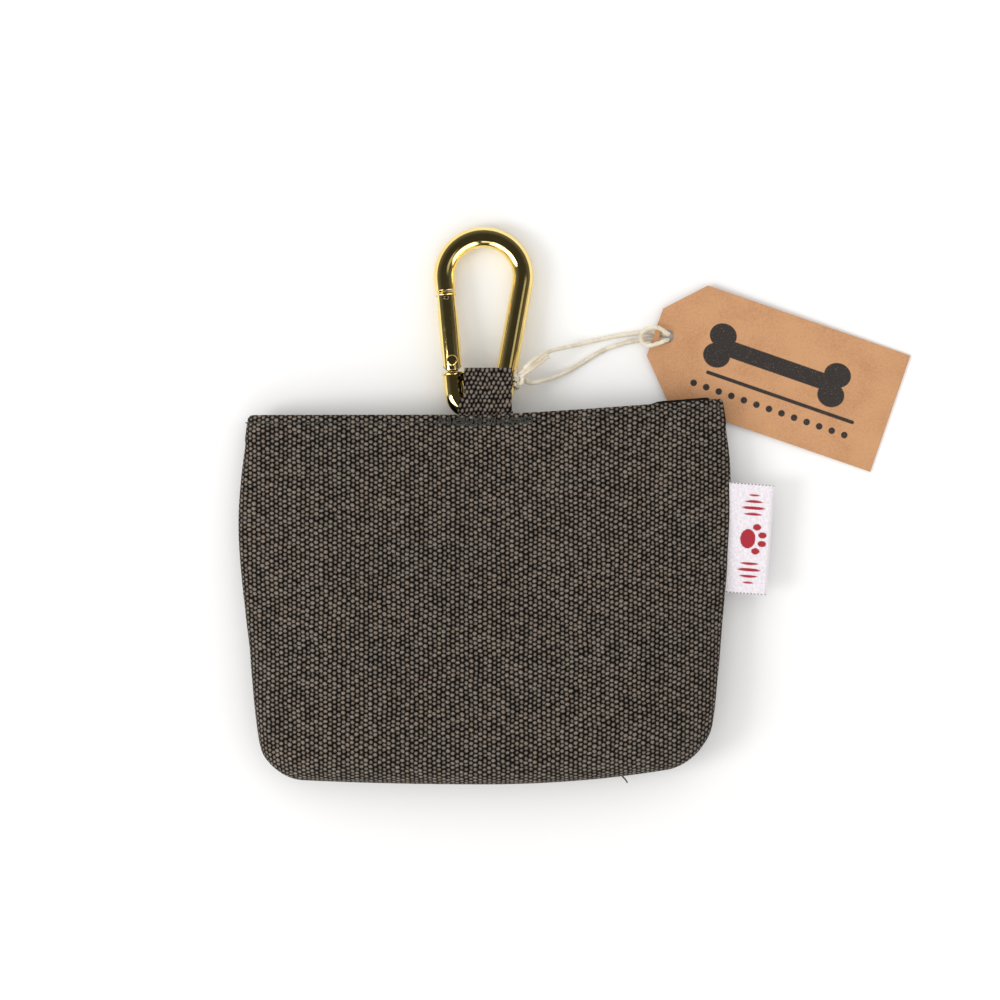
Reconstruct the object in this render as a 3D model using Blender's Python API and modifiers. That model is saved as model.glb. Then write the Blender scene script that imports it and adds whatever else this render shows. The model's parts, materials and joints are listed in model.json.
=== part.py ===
"""A canvas treat pouch with a brass-plated snap hook, lying on its back.

A boxed canvas bag with a loose nylon lining closes with a magnetic snap. A webbing loop sewn into
the mouth of its front panel carries a sprung snap hook, and a card tag hangs from the hook on a
cotton string.

The frame: +Z is up, out of the surface that the pouch lies on, +Y runs from the base to the mouth,
and the origin is on the flat of the back panel. Sizes below are in millimetres and are turned into
metres by mm(), where the solids are made.
"""

import math

import bmesh
import bpy
from mathutils import Matrix, Vector

# ---------------------------------------------------------------- driving dimensions, millimetres
GAP = 0.3                     # between pieces that touch

# canvas bag
POUCH_HALF_WIDTH = 74.2       # at its widest, below the mouth
POUCH_MOUTH_Y = 55.4
POUCH_BASE_Y = -55.2
MOUTH_NARROWER = 3.0          # each mouth corner is this far inside the widest point
BASE_NARROWER = 7.8           # and each base corner this far
WIDEST_Y = 27.0
BASE_CORNER_R = 12.0           # in plan, and where the front turns into the base
MOUTH_RISE_RIGHT = 5.2        # the right end of the mouth lies this much higher in Y
BASE_RISE_RIGHT = 5.0
BASE_RISE_LEFT = 2.2
BACK_MOUTH_LIFT = 1.1         # the back panel's mouth edge curls up from the surface
FRONT_MOUTH_Z = 14.0
FRONT_SNAP_Z = 14.3
FRONT_BASE_Z = 22.0
SEAM_MOUTH_Z = 6.5            # height of the side seam at the mouth
SEAM_BASE_Z = 10.5
CANVAS = 1.3
LINING = 0.4
LINING_GAP = 2.2              # the lining is a smaller bag, loose inside the canvas one
LINING_SET_BACK = 2.6         # its edge is below the canvas lip

# sewing
THREAD = 0.5
TOPSTITCH_DROP = 2.4          # below the lip's edge
BARTACK_WIDTH = 27.5
BARTACK_BREADTH = 2.2
SEAM_THREAD = 0.6
WALL_SWELL = 0.4              # a panel's wall reaches this share further in where it turns tightest

# webbing loop
STRAP_WIDTH = 14.2
STRAP_RIGHT_X = 8.0
STRAP = 0.9
STRAP_TOP_Y = 69.2
STRAP_BACK_LEFT_X = -8.3      # the rear ply lies a little askew
STRAP_FOLD_X = (-5.6, 0.9)    # the part of the fold that goes down through the hook
STRAP_TAIL = 8.0
STRAP_TAIL_DROP = 0.5         # the sewn tail starts this far below the lip

# magnetic snap
SNAP_DROP = 18.4              # below the lip
SNAP_R = 7.0
SOCKET_HEIGHT = 3.0
STUD_HEIGHT = 1.4
STUD_NIB_R = 1.8
STUD_NIB = 2.0
SNAP_METAL = 0.4
WASHER_R = 5.5
WASHER = 0.4
STIFFENER_HALF = 9.0
STIFFENER = 0.6

# woven side label
LABEL_WIDTH = 11.8
LABEL_LENGTH = 33.0
LABEL = 0.8
LABEL_TOP_Y = 35.2
LABEL_TILT = 4.3              # degrees

# snap hook, in its own plane: x across it, y from the strap end to the round end
WIRE_R = 3.2
HOOK_LENGTH = 58.0
HOOK_TOP_R = 11.8             # to the wire's centre
HOOK_FOOT_R = 5.0
HOOK_FOOT_FLAT = 2.2          # half the straight stretch between the two foot bends
HOOK_X = -2.2
HOOK_YAW = -2.4               # degrees: its round end points a little to the right
HOOK_FOOT_ABOVE_LIP = -1.1    # the wire's outer edge, against the lip
GATE_R = 3.0
GATE_PIVOT_Y = 16.9           # the gate's rivet
GATE_REACH = 21.0             # from the rivet to the gate's nose
GATE_SLOT = 1.3               # half its width
TONGUE = 0.9                  # half the thickness of the hook's two tongues
TONGUE_HALF = 1.6
NOSE_SLOT_DEPTH = 5.4
RIVET_R = 0.8
RIVET_HEAD_R = 1.4
RIVET_HEAD = 0.4
LATCH_PIN_R = 0.6
LATCH_PIN_REACH = 19.0        # from the rivet
SPRING_R = 1.05
SPRING_WIRE = 0.4
SPRING_TURNS = 6
SPRING_LENGTH = 7.0
PLUNGER_R = 1.1
PLUNGER_LENGTH = 1.5
BORE_R = 1.55

# card tag and its string
CARD_LENGTH = 75.0
CARD_HEIGHT = 37.0
CARD = 0.5
CARD_CHAMFER_ALONG = 10.5     # along the card, at its string end
CARD_CHAMFER_ACROSS = 11.0
CARD_ANGLE = -19.1            # degrees, in plan
CARD_END = (51.1, 80.4)       # the middle of the string end's edge, in plan
CARD_LIFT = 1.6               # the string end rests on the string
CARD_HOLE_INSET = 3.7
CARD_HOLE_R = 2.1
STRING = 1.4
KNOT_Y = 11.0                 # where the string is tied, up the hook's right leg
KNOT_FROM = 52.0              # degrees round the leg, from its outer side
KNOT_TO = -190.0

# The string's routes, chosen by hand: far goes from one strand, through the card's hole as a
# girth hitch, and back to the other strand. near_a and near_b run on to the knot on the hook.
STRING_NEAR_A = [
    (13.6, 71.0, 11.2), (16.4, 73.1, 10.2), (20.0, 74.7, 7.6), (24.0, 75.7, 4.4),
    (28.0, 76.6, 2.0), (32.0, 77.6, 0.95), (36.0, 78.5, 0.8), (40.4, 79.35, 0.8),
]
STRING_NEAR_B = [
    (13.9, 65.0, 6.2), (16.8, 65.6, 5.0), (20.5, 66.6, 3.0), (24.5, 68.4, 1.4),
    (28.5, 70.7, 0.85), (32.5, 73.2, 0.8), (36.4, 75.3, 0.8), (40.2, 76.6, 0.8),
]
STRING_FAR = [
    (40.8, 79.4, 0.8), (43.5, 79.8, 0.8), (46.5, 80.2, 0.78), (49.5, 80.4, 0.78), (52.0, 80.2, 0.78),
    (54.0, 79.9, 0.95), (55.1, 79.75, 2.3), (54.2, 80.3, 3.6), (52.2, 81.6, 3.85), (49.6, 81.7, 3.5),
    (47.6, 80.6, 3.1), (46.9, 79.0, 3.0), (47.3, 77.3, 3.1), (49.2, 76.3, 3.5), (51.9, 76.9, 3.85),
    (53.9, 77.7, 3.6), (54.9, 78.05, 2.3), (53.8, 78.1, 0.95), (51.8, 78.2, 0.78), (49.0, 78.3, 0.78),
    (46.0, 77.9, 0.78), (43.2, 77.4, 0.8), (40.65, 76.75, 0.8),
]

# finishes: base colour, roughness, metallic
FINISHES = {
    "canvas": ((0.066, 0.054, 0.044), 0.9, 0.0),
    "webbing": ((0.060, 0.050, 0.042), 0.85, 0.0),
    "lining": ((0.008, 0.008, 0.009), 0.5, 0.0),
    "thread": ((0.012, 0.011, 0.010), 0.6, 0.0),
    "gold_plate": ((0.90, 0.66, 0.22), 0.12, 1.0),
    "spring_steel": ((0.55, 0.55, 0.56), 0.3, 1.0),
    "nickel": ((0.62, 0.61, 0.58), 0.25, 1.0),
    "magnet": ((0.05, 0.05, 0.055), 0.4, 0.6),
    "stiffener": ((0.80, 0.79, 0.76), 0.9, 0.0),
    "label": ((0.80, 0.79, 0.80), 0.8, 0.0),
    "kraft_card": ((0.60, 0.32, 0.155), 0.85, 0.0),
    "cotton_string": ((0.84, 0.80, 0.68), 0.9, 0.0),
}


# ---------------------------------------------------------------- small helpers
def mm(*values):
    """Millimetres as a vector in metres."""
    return Vector(values) / 1000.0


def smooth_step(t):
    t = min(1.0, max(0.0, t))
    return t * t * (3.0 - 2.0 * t)


def catmull(points, t):
    """A point on the smooth curve through the points, t from 0 to len(points) - 1."""
    i = min(int(t), len(points) - 2)
    f = t - i
    p1, p2 = Vector(points[i]), Vector(points[i + 1])
    p0 = Vector(points[i - 1]) if i > 0 else 2 * p1 - p2
    p3 = Vector(points[i + 2]) if i + 2 < len(points) else 2 * p2 - p1
    a = 2 * p1
    b = p2 - p0
    c = 2 * p0 - 5 * p1 + 4 * p2 - p3
    d = 3 * p1 - p0 - 3 * p2 + p3
    return 0.5 * (a + b * f + c * f * f + d * f ** 3)


def clear_scene():
    for obj in list(bpy.data.objects):
        bpy.data.objects.remove(obj, do_unlink=True)


def new_collection(name):
    collection = bpy.data.collections.new(name)
    bpy.context.scene.collection.children.link(collection)
    return collection


def finish_of(name):
    """The named finish as a Principled material."""
    material = bpy.data.materials.get(name)
    if material is None:
        colour, roughness, metallic = FINISHES[name]
        material = bpy.data.materials.new(name)
        material.use_nodes = True
        shader = material.node_tree.nodes["Principled BSDF"]
        shader.inputs["Base Color"].default_value = (*colour, 1.0)
        shader.inputs["Roughness"].default_value = roughness
        shader.inputs["Metallic"].default_value = metallic
    return material


class Shop:
    """Puts each finished object into its collection, under its parent and with its finish."""

    def __init__(self):
        self.parts = new_collection("treat_pouch")
        self.cutters = new_collection("cutters")

    def keep(self, obj, name, finish, parent=None):
        obj.name = name
        obj.data.name = name
        for collection in list(obj.users_collection):
            collection.objects.unlink(obj)
        self.parts.objects.link(obj)
        obj.data.materials.clear()
        obj.data.materials.append(finish_of(finish))
        obj.parent = parent
        return obj

    def cutter(self, obj, name, parent=None):
        obj.name = name
        for collection in list(obj.users_collection):
            collection.objects.unlink(obj)
        self.cutters.objects.link(obj)
        obj.hide_render = True
        obj.display_type = "WIRE"
        obj.parent = parent
        return obj

    def frame(self, name, location, rotation=(0.0, 0.0, 0.0), parent=None):
        empty = bpy.data.objects.new(name, None)
        self.parts.objects.link(empty)
        empty.location = location
        empty.rotation_euler = rotation
        empty.parent = parent
        return empty


def boolean(target, cutter, operation="DIFFERENCE"):
    modifier = target.modifiers.new(cutter.name, "BOOLEAN")
    modifier.operation = operation
    modifier.object = cutter
    modifier.solver = "EXACT"
    return modifier


def box(low, high):
    """A box between two corners, in millimetres, with its scale applied."""
    low, high = mm(*low), mm(*high)
    bpy.ops.mesh.primitive_cube_add(size=1.0, location=(0, 0, 0))
    obj = bpy.context.object
    obj.data.transform(Matrix.Diagonal((*(high - low), 1.0)))
    obj.data.transform(Matrix.Translation((low + high) / 2))
    return obj


def cylinder(radius, depth, centre, axis="Z", sides=32):
    """A cylinder in millimetres, its axis along Z, X or Y, with its place in its mesh."""
    bpy.ops.mesh.primitive_cylinder_add(vertices=sides, radius=radius / 1000, depth=depth / 1000)
    obj = bpy.context.object
    turn = {"Z": Matrix(), "X": Matrix.Rotation(math.pi / 2, 4, "Y"),
            "Y": Matrix.Rotation(math.pi / 2, 4, "X")}[axis]
    obj.data.transform(Matrix.Translation(mm(*centre)) @ turn)
    smooth(obj)
    return obj


def smooth(obj):
    obj.data.shade_smooth()
    obj.data.set_sharp_from_angle(angle=math.radians(40))


def turned(profile, steps=32):
    """A turned piece about Z: the profile is (radius, height) in millimetres, down its outer side."""
    mesh = bpy.data.meshes.new("turned")
    points = [mm(r, 0, z) for r, z in profile]
    mesh.from_pydata(points, [(i, i + 1) for i in range(len(points) - 1)], [])
    obj = bpy.data.objects.new("turned", mesh)
    bpy.context.scene.collection.objects.link(obj)
    screw = obj.modifiers.new("turn", "SCREW")
    screw.steps = screw.render_steps = steps
    screw.use_merge_vertices = True
    screw.merge_threshold = 0.00001
    screw.use_smooth_shade = True
    return obj


def tube(points, diameter, sides_resolution=2, closed=False):
    """A round tube along points in millimetres."""
    curve = bpy.data.curves.new("tube", "CURVE")
    curve.dimensions = "3D"
    curve.bevel_depth = diameter / 2000
    curve.bevel_resolution = sides_resolution
    curve.use_fill_caps = True
    spline = curve.splines.new("POLY")
    spline.points.add(len(points) - 1)
    for target, point in zip(spline.points, points):
        target.co = (*mm(*point), 1.0)
    spline.use_cyclic_u = closed
    spline.use_smooth = True
    obj = bpy.data.objects.new("tube", curve)
    bpy.context.scene.collection.objects.link(obj)
    return obj


def as_mesh(obj):
    """A curve object made a mesh of its own, with its caps welded."""
    bpy.context.view_layer.update()
    evaluated = obj.evaluated_get(bpy.context.evaluated_depsgraph_get())
    mesh = bpy.data.meshes.new_from_object(evaluated)
    work = bmesh.new()
    work.from_mesh(mesh)
    bmesh.ops.remove_doubles(work, verts=work.verts, dist=0.00001)
    work.to_mesh(mesh)
    work.free()
    made = bpy.data.objects.new(obj.name, mesh)
    made.matrix_world = obj.matrix_world
    bpy.context.scene.collection.objects.link(made)
    bpy.data.objects.remove(obj, do_unlink=True)
    return made


# ---------------------------------------------------------------- the bag's form
BACK, FRONT = -1, 1
SKIRT = 2.0                   # panels run this far past the seam plane before they are trimmed
ACROSS = 20                   # facets across a panel
FACE_ROWS = 9                 # facets down its face
TURN_ROWS = 4                 # and round the turn into the base


def seam_z(y):
    """Height of the plane that the side and base seams lie in."""
    share = (POUCH_MOUTH_Y - y) / (POUCH_MOUTH_Y - POUCH_BASE_Y)
    return SEAM_MOUTH_Z + (SEAM_BASE_Z - SEAM_MOUTH_Z) * share


def half_width(y):
    """Half the bag's width at y: widest below the mouth, narrower towards the boxed base."""
    if y > WIDEST_Y:
        share = (y - WIDEST_Y) / (POUCH_MOUTH_Y - WIDEST_Y)
        return POUCH_HALF_WIDTH - MOUTH_NARROWER * share * share
    share = (WIDEST_Y - y) / (WIDEST_Y - POUCH_BASE_Y)
    return POUCH_HALF_WIDTH - BASE_NARROWER * share ** 1.5


def centre_z(side, y):
    """Height of the panel's outer surface along the middle of the bag."""
    snap_y = POUCH_MOUTH_Y - SNAP_DROP
    if side == BACK:
        lift_from = snap_y + SNAP_R + 1.5
        return BACK_MOUTH_LIFT * smooth_step((y - lift_from) / (POUCH_MOUTH_Y - lift_from))
    if y > snap_y:
        share = (y - snap_y) / (POUCH_MOUTH_Y - snap_y)
        return FRONT_SNAP_Z + (FRONT_MOUTH_Z - FRONT_SNAP_Z) * smooth_step(share)
    flat_y = snap_y - STIFFENER_HALF - 1.5
    share = max(0.0, flat_y - y) / (flat_y - POUCH_BASE_Y)
    return FRONT_SNAP_Z + (FRONT_BASE_Z - FRONT_SNAP_Z) * math.sin(share * math.pi / 2) ** 1.3


def drape(x, share):
    """How far a point moves in Y as the bag lies skewed: share is 0 at the mouth and 1 at the base."""
    right, left = max(0.0, x) / POUCH_HALF_WIDTH, max(0.0, -x) / POUCH_HALF_WIDTH
    mouth = MOUTH_RISE_RIGHT * right ** 1.2
    base = BASE_RISE_RIGHT * 1.6 * right * right + BASE_RISE_LEFT * left * left
    return mouth + (base - mouth) * share


def panel_point(side, across, row, inset, mouth_drop=0.0):
    """A point of a panel, in millimetres.

    across runs from -1 to 1 between the side seams and row from 0 at the mouth to 1 at the base
    seam. A panel's inner layers are the same form, inset. Past 1 each is a straight skirt.
    """
    turn = TURN_ROWS / (FACE_ROWS + TURN_ROWS)
    top, foot = POUCH_MOUTH_Y - mouth_drop, POUCH_BASE_Y + inset
    radius = BASE_CORNER_R - min(inset, BASE_CORNER_R / 2)
    down = max(0.0, row - 1.0)
    row = min(row, 1.0)
    if row <= 1.0 - turn:
        y, bend = top + (foot + radius - top) * row / (1.0 - turn), 0.0
    else:
        bend = (row - (1.0 - turn)) / turn
        y = foot + radius - radius * math.sin(bend * math.pi / 2)
    width = half_width(y) - inset - radius * (1.0 - math.cos(bend * math.pi / 2))
    reach = math.sin(min(1.0, abs(across)) * math.pi / 2)
    x = math.copysign(width * reach, across)
    share = (POUCH_MOUTH_Y - y) / (POUCH_MOUTH_Y - POUCH_BASE_Y)
    y_lying = y + drape(x, share)
    height = abs(centre_z(side, y) - seam_z(y)) - inset
    level = 0.5 if side == BACK else 0.1 + 0.35 * share
    beyond = max(0.0, (reach - level) / (1.0 - level))
    crown = math.sqrt(max(0.0, 1.0 - beyond * beyond))
    rise = height * crown * math.cos(bend * math.pi / 2) ** 0.6
    if abs(across) > 1.0 or down > 0.0:
        rise = -SKIRT
    return Vector((x, y_lying, seam_z(y) + side * rise))


def panel_sheet(side, inset, mouth_drop=0.0):
    """One layer of the bag as an open grid, from a grid primitive."""
    columns, rows = ACROSS + 2, FACE_ROWS + TURN_ROWS + 1
    bpy.ops.mesh.primitive_grid_add(x_subdivisions=columns, y_subdivisions=rows, size=2.0)
    obj = bpy.context.object
    for vertex in obj.data.vertices:
        column = round((vertex.co.x + 1) / 2 * columns) - 1
        row = round((1 - vertex.co.y) / 2 * rows)
        across = 2.0 * column / ACROSS - 1.0
        if column < 0 or column > ACROSS:
            across = math.copysign(1.01, column - 1)
        down = row / (FACE_ROWS + TURN_ROWS)
        vertex.co = panel_point(side, across, down, inset, mouth_drop) / 1000
    if side == BACK:
        obj.data.flip_normals()
    smooth(obj)
    return obj


def seam_cutter(shop, side):
    """The half space past the seam plane, which trims a panel to its seam edges."""
    length, reach, thickness = 300.0, 300.0, 60.0
    top = 0.0 if side == FRONT else thickness
    obj = box((-reach, -length, top - thickness), (reach, length, top))
    slope = math.atan2(SEAM_BASE_Z - SEAM_MOUTH_Z, POUCH_MOUTH_Y - POUCH_BASE_Y)
    obj.data.transform(Matrix.Rotation(-slope, 4, "X"))
    obj.location = mm(0, 0, seam_z(0.0) + side * GAP / 2)
    return shop.cutter(obj, "past_front_seam" if side == FRONT else "past_back_seam")


def layer(shop, name, side, inset, thickness, finish, cutter, mouth_drop=0.0):
    """A panel or lining: a grid given its thickness inwards and trimmed at the seams."""
    obj = panel_sheet(side, inset, mouth_drop)
    solidify = obj.modifiers.new("cloth", "SOLIDIFY")
    solidify.thickness = thickness / 1000
    solidify.offset = -1.0
    solidify.use_even_offset = False
    trim = boolean(obj, cutter)
    trim.use_self = True
    return shop.keep(obj, name, finish)


# ---------------------------------------------------------------- sewn work
def surface_line(side, drop, clear, across_from, across_to, count):
    """Points along the mouth, on a panel's outer face, drop below the lip and clear of the cloth."""
    face = FACE_ROWS / (FACE_ROWS + TURN_ROWS)
    row = drop / (POUCH_MOUTH_Y - POUCH_BASE_Y - BASE_CORNER_R) * face
    points = []
    for i in range(count):
        across = across_from + (across_to - across_from) * i / (count - 1)
        point = panel_point(side, across, row, 0.0)
        points.append(point + Vector((0, 0, side * clear)))
    return points


def side_seam_line(hand, inset, count):
    """Points down a side seam, inset into the bag, from the mouth to the turn of the base."""
    face = FACE_ROWS / (FACE_ROWS + TURN_ROWS)
    rows = [0.04 + (face - 0.04) * i / (count - 1) for i in range(count)]
    points = []
    for row in rows:
        point = panel_point(FRONT, hand, row, inset)
        points.append(Vector((point.x, point.y, seam_z(point.y))))
    return points


def base_seam_line(inset, count):
    points = []
    for i in range(count):
        across = -0.72 + 1.44 * i / (count - 1)
        point = panel_point(FRONT, across, 1.0, inset)
        points.append(Vector((point.x, point.y, seam_z(point.y))))
    return points


def make_bag(shop):
    """The canvas panels, the lining and the seams' thread."""
    cutters = {side: seam_cutter(shop, side) for side in (FRONT, BACK)}
    layer(shop, "front_panel", FRONT, 0.0, CANVAS, "canvas", cutters[FRONT])
    layer(shop, "back_panel", BACK, 0.0, CANVAS, "canvas", cutters[BACK])
    inset = CANVAS + LINING_GAP
    layer(shop, "front_lining", FRONT, inset, LINING, "lining", cutters[FRONT], LINING_SET_BACK)
    layer(shop, "back_lining", BACK, inset, LINING, "lining", cutters[BACK], LINING_SET_BACK)
    clear = GAP + THREAD / 2
    for side, name in ((FRONT, "front_topstitch"), (BACK, "back_topstitch")):
        line = surface_line(side, TOPSTITCH_DROP, clear, -0.97, 0.97, 33)
        shop.keep(tube(line, THREAD, 1), name, "thread")
    seam_inset = (1.0 + WALL_SWELL) * CANVAS + GAP + SEAM_THREAD / 2
    for hand, name in ((-1.0, "left_seam_thread"), (1.0, "right_seam_thread")):
        shop.keep(tube(side_seam_line(hand, seam_inset, 12), SEAM_THREAD, 1), name, "thread")
    shop.keep(tube(base_seam_line(seam_inset, 12), SEAM_THREAD, 1), "base_seam_thread", "thread")


def make_bartack(shop):
    """The dense row of stitches that holds the strap's tail, on the front panel's face."""
    centre = POUCH_MOUTH_Y - TOPSTITCH_DROP
    low = FRONT_MOUTH_Z + GAP + 0.05
    half = BARTACK_WIDTH / 2
    breadth = BARTACK_BREADTH / 2
    inner = THREAD + TOPSTITCH_DROP - breadth
    obj = box((-half, centre - breadth - inner, low), (half, centre - inner, low + THREAD))
    shop.keep(obj, "strap_bartack", "thread")


def make_label(shop):
    """The folded woven label that stands out of the right side seam."""
    middle_y = LABEL_TOP_Y - LABEL_LENGTH / 2
    seam_x = panel_point(FRONT, 1.0, 0.0, 0.0).x
    seam_x = max(seam_x, half_width(middle_y)) + GAP
    obj = box((0, -LABEL_LENGTH / 2, -LABEL / 2), (LABEL_WIDTH, LABEL_LENGTH / 2, LABEL / 2))
    obj.location = mm(seam_x, middle_y, seam_z(middle_y))
    obj.rotation_euler = (0, 0, math.radians(-LABEL_TILT))
    bevel = obj.modifiers.new("fold", "BEVEL")
    bevel.width = 0.00025
    bevel.segments = 2
    shop.keep(obj, "side_label", "label")


# ---------------------------------------------------------------- magnetic snap
def make_snap(shop):
    """The two halves of the snap, each with its washer and stiffener behind the lining."""
    y = POUCH_MOUTH_Y - SNAP_DROP
    back_lining = centre_z(BACK, y) + CANVAS + LINING_GAP + LINING
    front_lining = centre_z(FRONT, y) - CANVAS - LINING_GAP - LINING
    socket = shop.frame("socket_place", mm(0, y, back_lining + GAP))
    stud = shop.frame("stud_place", mm(0, y, front_lining - GAP))
    wall, bore = SNAP_METAL, STUD_NIB_R + 0.4

    plate_top = wall
    shop.keep(turned([(SNAP_R, plate_top), (SNAP_R, 0), (0, 0), (0, plate_top), (SNAP_R, plate_top)]),
              "snap_socket_plate", "nickel", socket)
    cup = [(bore, SOCKET_HEIGHT), (SNAP_R, SOCKET_HEIGHT), (SNAP_R, plate_top + GAP),
           (SNAP_R - wall, plate_top + GAP), (SNAP_R - wall, SOCKET_HEIGHT - wall),
           (bore, SOCKET_HEIGHT - wall), (bore, SOCKET_HEIGHT)]
    shop.keep(turned(cup), "snap_socket_cup", "nickel", socket)
    low, high = plate_top + GAP, SOCKET_HEIGHT - wall - GAP
    ring_in, ring_out = bore + GAP, SNAP_R - wall - GAP
    ring = [(ring_in, high), (ring_out, high), (ring_out, low), (ring_in, low), (ring_in, high)]
    shop.keep(turned(ring), "snap_magnet", "magnet", socket)

    nib = [(0, 0), (SNAP_R, 0), (SNAP_R, -STUD_HEIGHT), (STUD_NIB_R, -STUD_HEIGHT),
           (STUD_NIB_R, -STUD_HEIGHT - STUD_NIB + 0.3), (STUD_NIB_R - 0.3, -STUD_HEIGHT - STUD_NIB),
           (0, -STUD_HEIGHT - STUD_NIB)]
    shop.keep(turned(nib), "snap_stud", "nickel", stud)

    behind = LINING + GAP
    for frame, way, half in ((socket, -1, "socket"), (stud, 1, "stud")):
        near = way * (GAP + behind) if half == "socket" else way * (GAP + behind)
        far = near + way * STIFFENER
        patch = box((-STIFFENER_HALF, -STIFFENER_HALF, min(near, far)),
                    (STIFFENER_HALF, STIFFENER_HALF, max(near, far)))
        shop.keep(patch, half + "_stiffener", "stiffener", frame)
        low = far + way * GAP
        high = low + way * WASHER
        disc = cylinder(WASHER_R, WASHER, (0, 0, (low + high) / 2), sides=24)
        shop.keep(disc, half + "_washer", "nickel", frame)


# ---------------------------------------------------------------- webbing loop
def foot_z():
    """Height of the hook's foot, between the strap's plies: the wire's middle."""
    return ply_z()[0] - GAP - WIRE_R - 0.1


def hook_pitch():
    """How far the hook tips, so that its round end rests on the surface, in radians."""
    return -math.asin((foot_z() - WIRE_R) / (HOOK_LENGTH - 2 * WIRE_R))


def ply_z():
    """Heights of the strap's front ply: its underside and its top, under the front lip's canvas."""
    top = FRONT_MOUTH_Z - CANVAS - GAP
    return top - STRAP, top


def make_strap(shop):
    """The loop outside the bag, and its tail that is sewn inside the lip."""
    low, high = ply_z()
    root_y = POUCH_MOUTH_Y + GAP
    hook_sink = (STRAP_TOP_Y - POUCH_MOUTH_Y - HOOK_FOOT_ABOVE_LIP) * math.tan(-hook_pitch())
    rear_top = low - GAP - 2 * WIRE_R - GAP - hook_sink
    rear_low = rear_top - STRAP
    left = STRAP_RIGHT_X - STRAP_WIDTH
    front = box((left, root_y, low), (STRAP_RIGHT_X, STRAP_TOP_Y, high))
    fold_left, fold_right = STRAP_FOLD_X
    overlap = 0.05
    fold = box((fold_left, STRAP_TOP_Y - STRAP, rear_low), (fold_right, STRAP_TOP_Y, low + overlap))
    rear = box((STRAP_BACK_LEFT_X, root_y, rear_low), (fold_right, STRAP_TOP_Y - overlap, rear_top))
    shop.cutter(fold, "strap_fold")
    shop.cutter(rear, "strap_rear_ply")
    boolean(front, fold, "UNION")
    boolean(front, rear, "UNION")
    shop.keep(front, "strap_loop", "webbing")

    tail_top = FRONT_MOUTH_Z - CANVAS - GAP
    start = POUCH_MOUTH_Y - STRAP_TAIL_DROP
    tail = box((left, start - STRAP_TAIL, tail_top - 1.9 * STRAP), (STRAP_RIGHT_X, start, tail_top))
    shop.keep(tail, "strap_tail", "webbing")


# ---------------------------------------------------------------- snap hook
def leg_tangent():
    """Where the right leg leaves the foot bend and meets the round end, in the hook's plane."""
    top = Vector((0.0, HOOK_LENGTH - WIRE_R - HOOK_TOP_R))
    foot = Vector((HOOK_FOOT_FLAT, WIRE_R + HOOK_FOOT_R))
    span = top - foot
    heading = math.atan2(span.y, span.x)
    normal = heading - math.acos((HOOK_FOOT_R - HOOK_TOP_R) / span.length)
    out = Vector((math.cos(normal), math.sin(normal)))
    return foot + out * HOOK_FOOT_R, top + out * HOOK_TOP_R, normal


def leg_point(y, hand=-1.0):
    """The middle of a leg's wire at height y."""
    low, high, _ = leg_tangent()
    share = (y - low.y) / (high.y - low.y)
    x = low.x + (high.x - low.x) * share
    return Vector((hand * x, y))


def leg_lean():
    """How far the left leg leans from the hook's y axis, in radians."""
    low, high, _ = leg_tangent()
    return math.atan2(high.x - low.x, high.y - low.y)


def arc(centre, radius, start, end, count):
    return [Vector((centre[0] + radius * math.cos(start + (end - start) * i / count),
                    centre[1] + radius * math.sin(start + (end - start) * i / count)))
            for i in range(count + 1)]


def hook_centreline():
    """The wire's middle line, from the nose over the round end and the foot to the gate's rivet."""
    _, _, normal = leg_tangent()
    along = Vector((math.sin(-leg_lean()), math.cos(leg_lean())))
    pivot = leg_point(GATE_PIVOT_Y)
    nose = pivot + along * (GATE_REACH + GAP)
    heel = pivot - along * (GATE_R + GAP)
    top_centre = (0.0, HOOK_LENGTH - WIRE_R - HOOK_TOP_R)
    points = [nose]
    points += arc(top_centre, HOOK_TOP_R, math.pi - normal, normal, 22)
    foot = (HOOK_FOOT_FLAT, WIRE_R + HOOK_FOOT_R)
    points += arc(foot, HOOK_FOOT_R, normal, -math.pi / 2, 8)
    points += arc((-foot[0], foot[1]), HOOK_FOOT_R, -math.pi / 2, -math.pi - normal, 8)
    points.append(heel)
    return points


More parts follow.
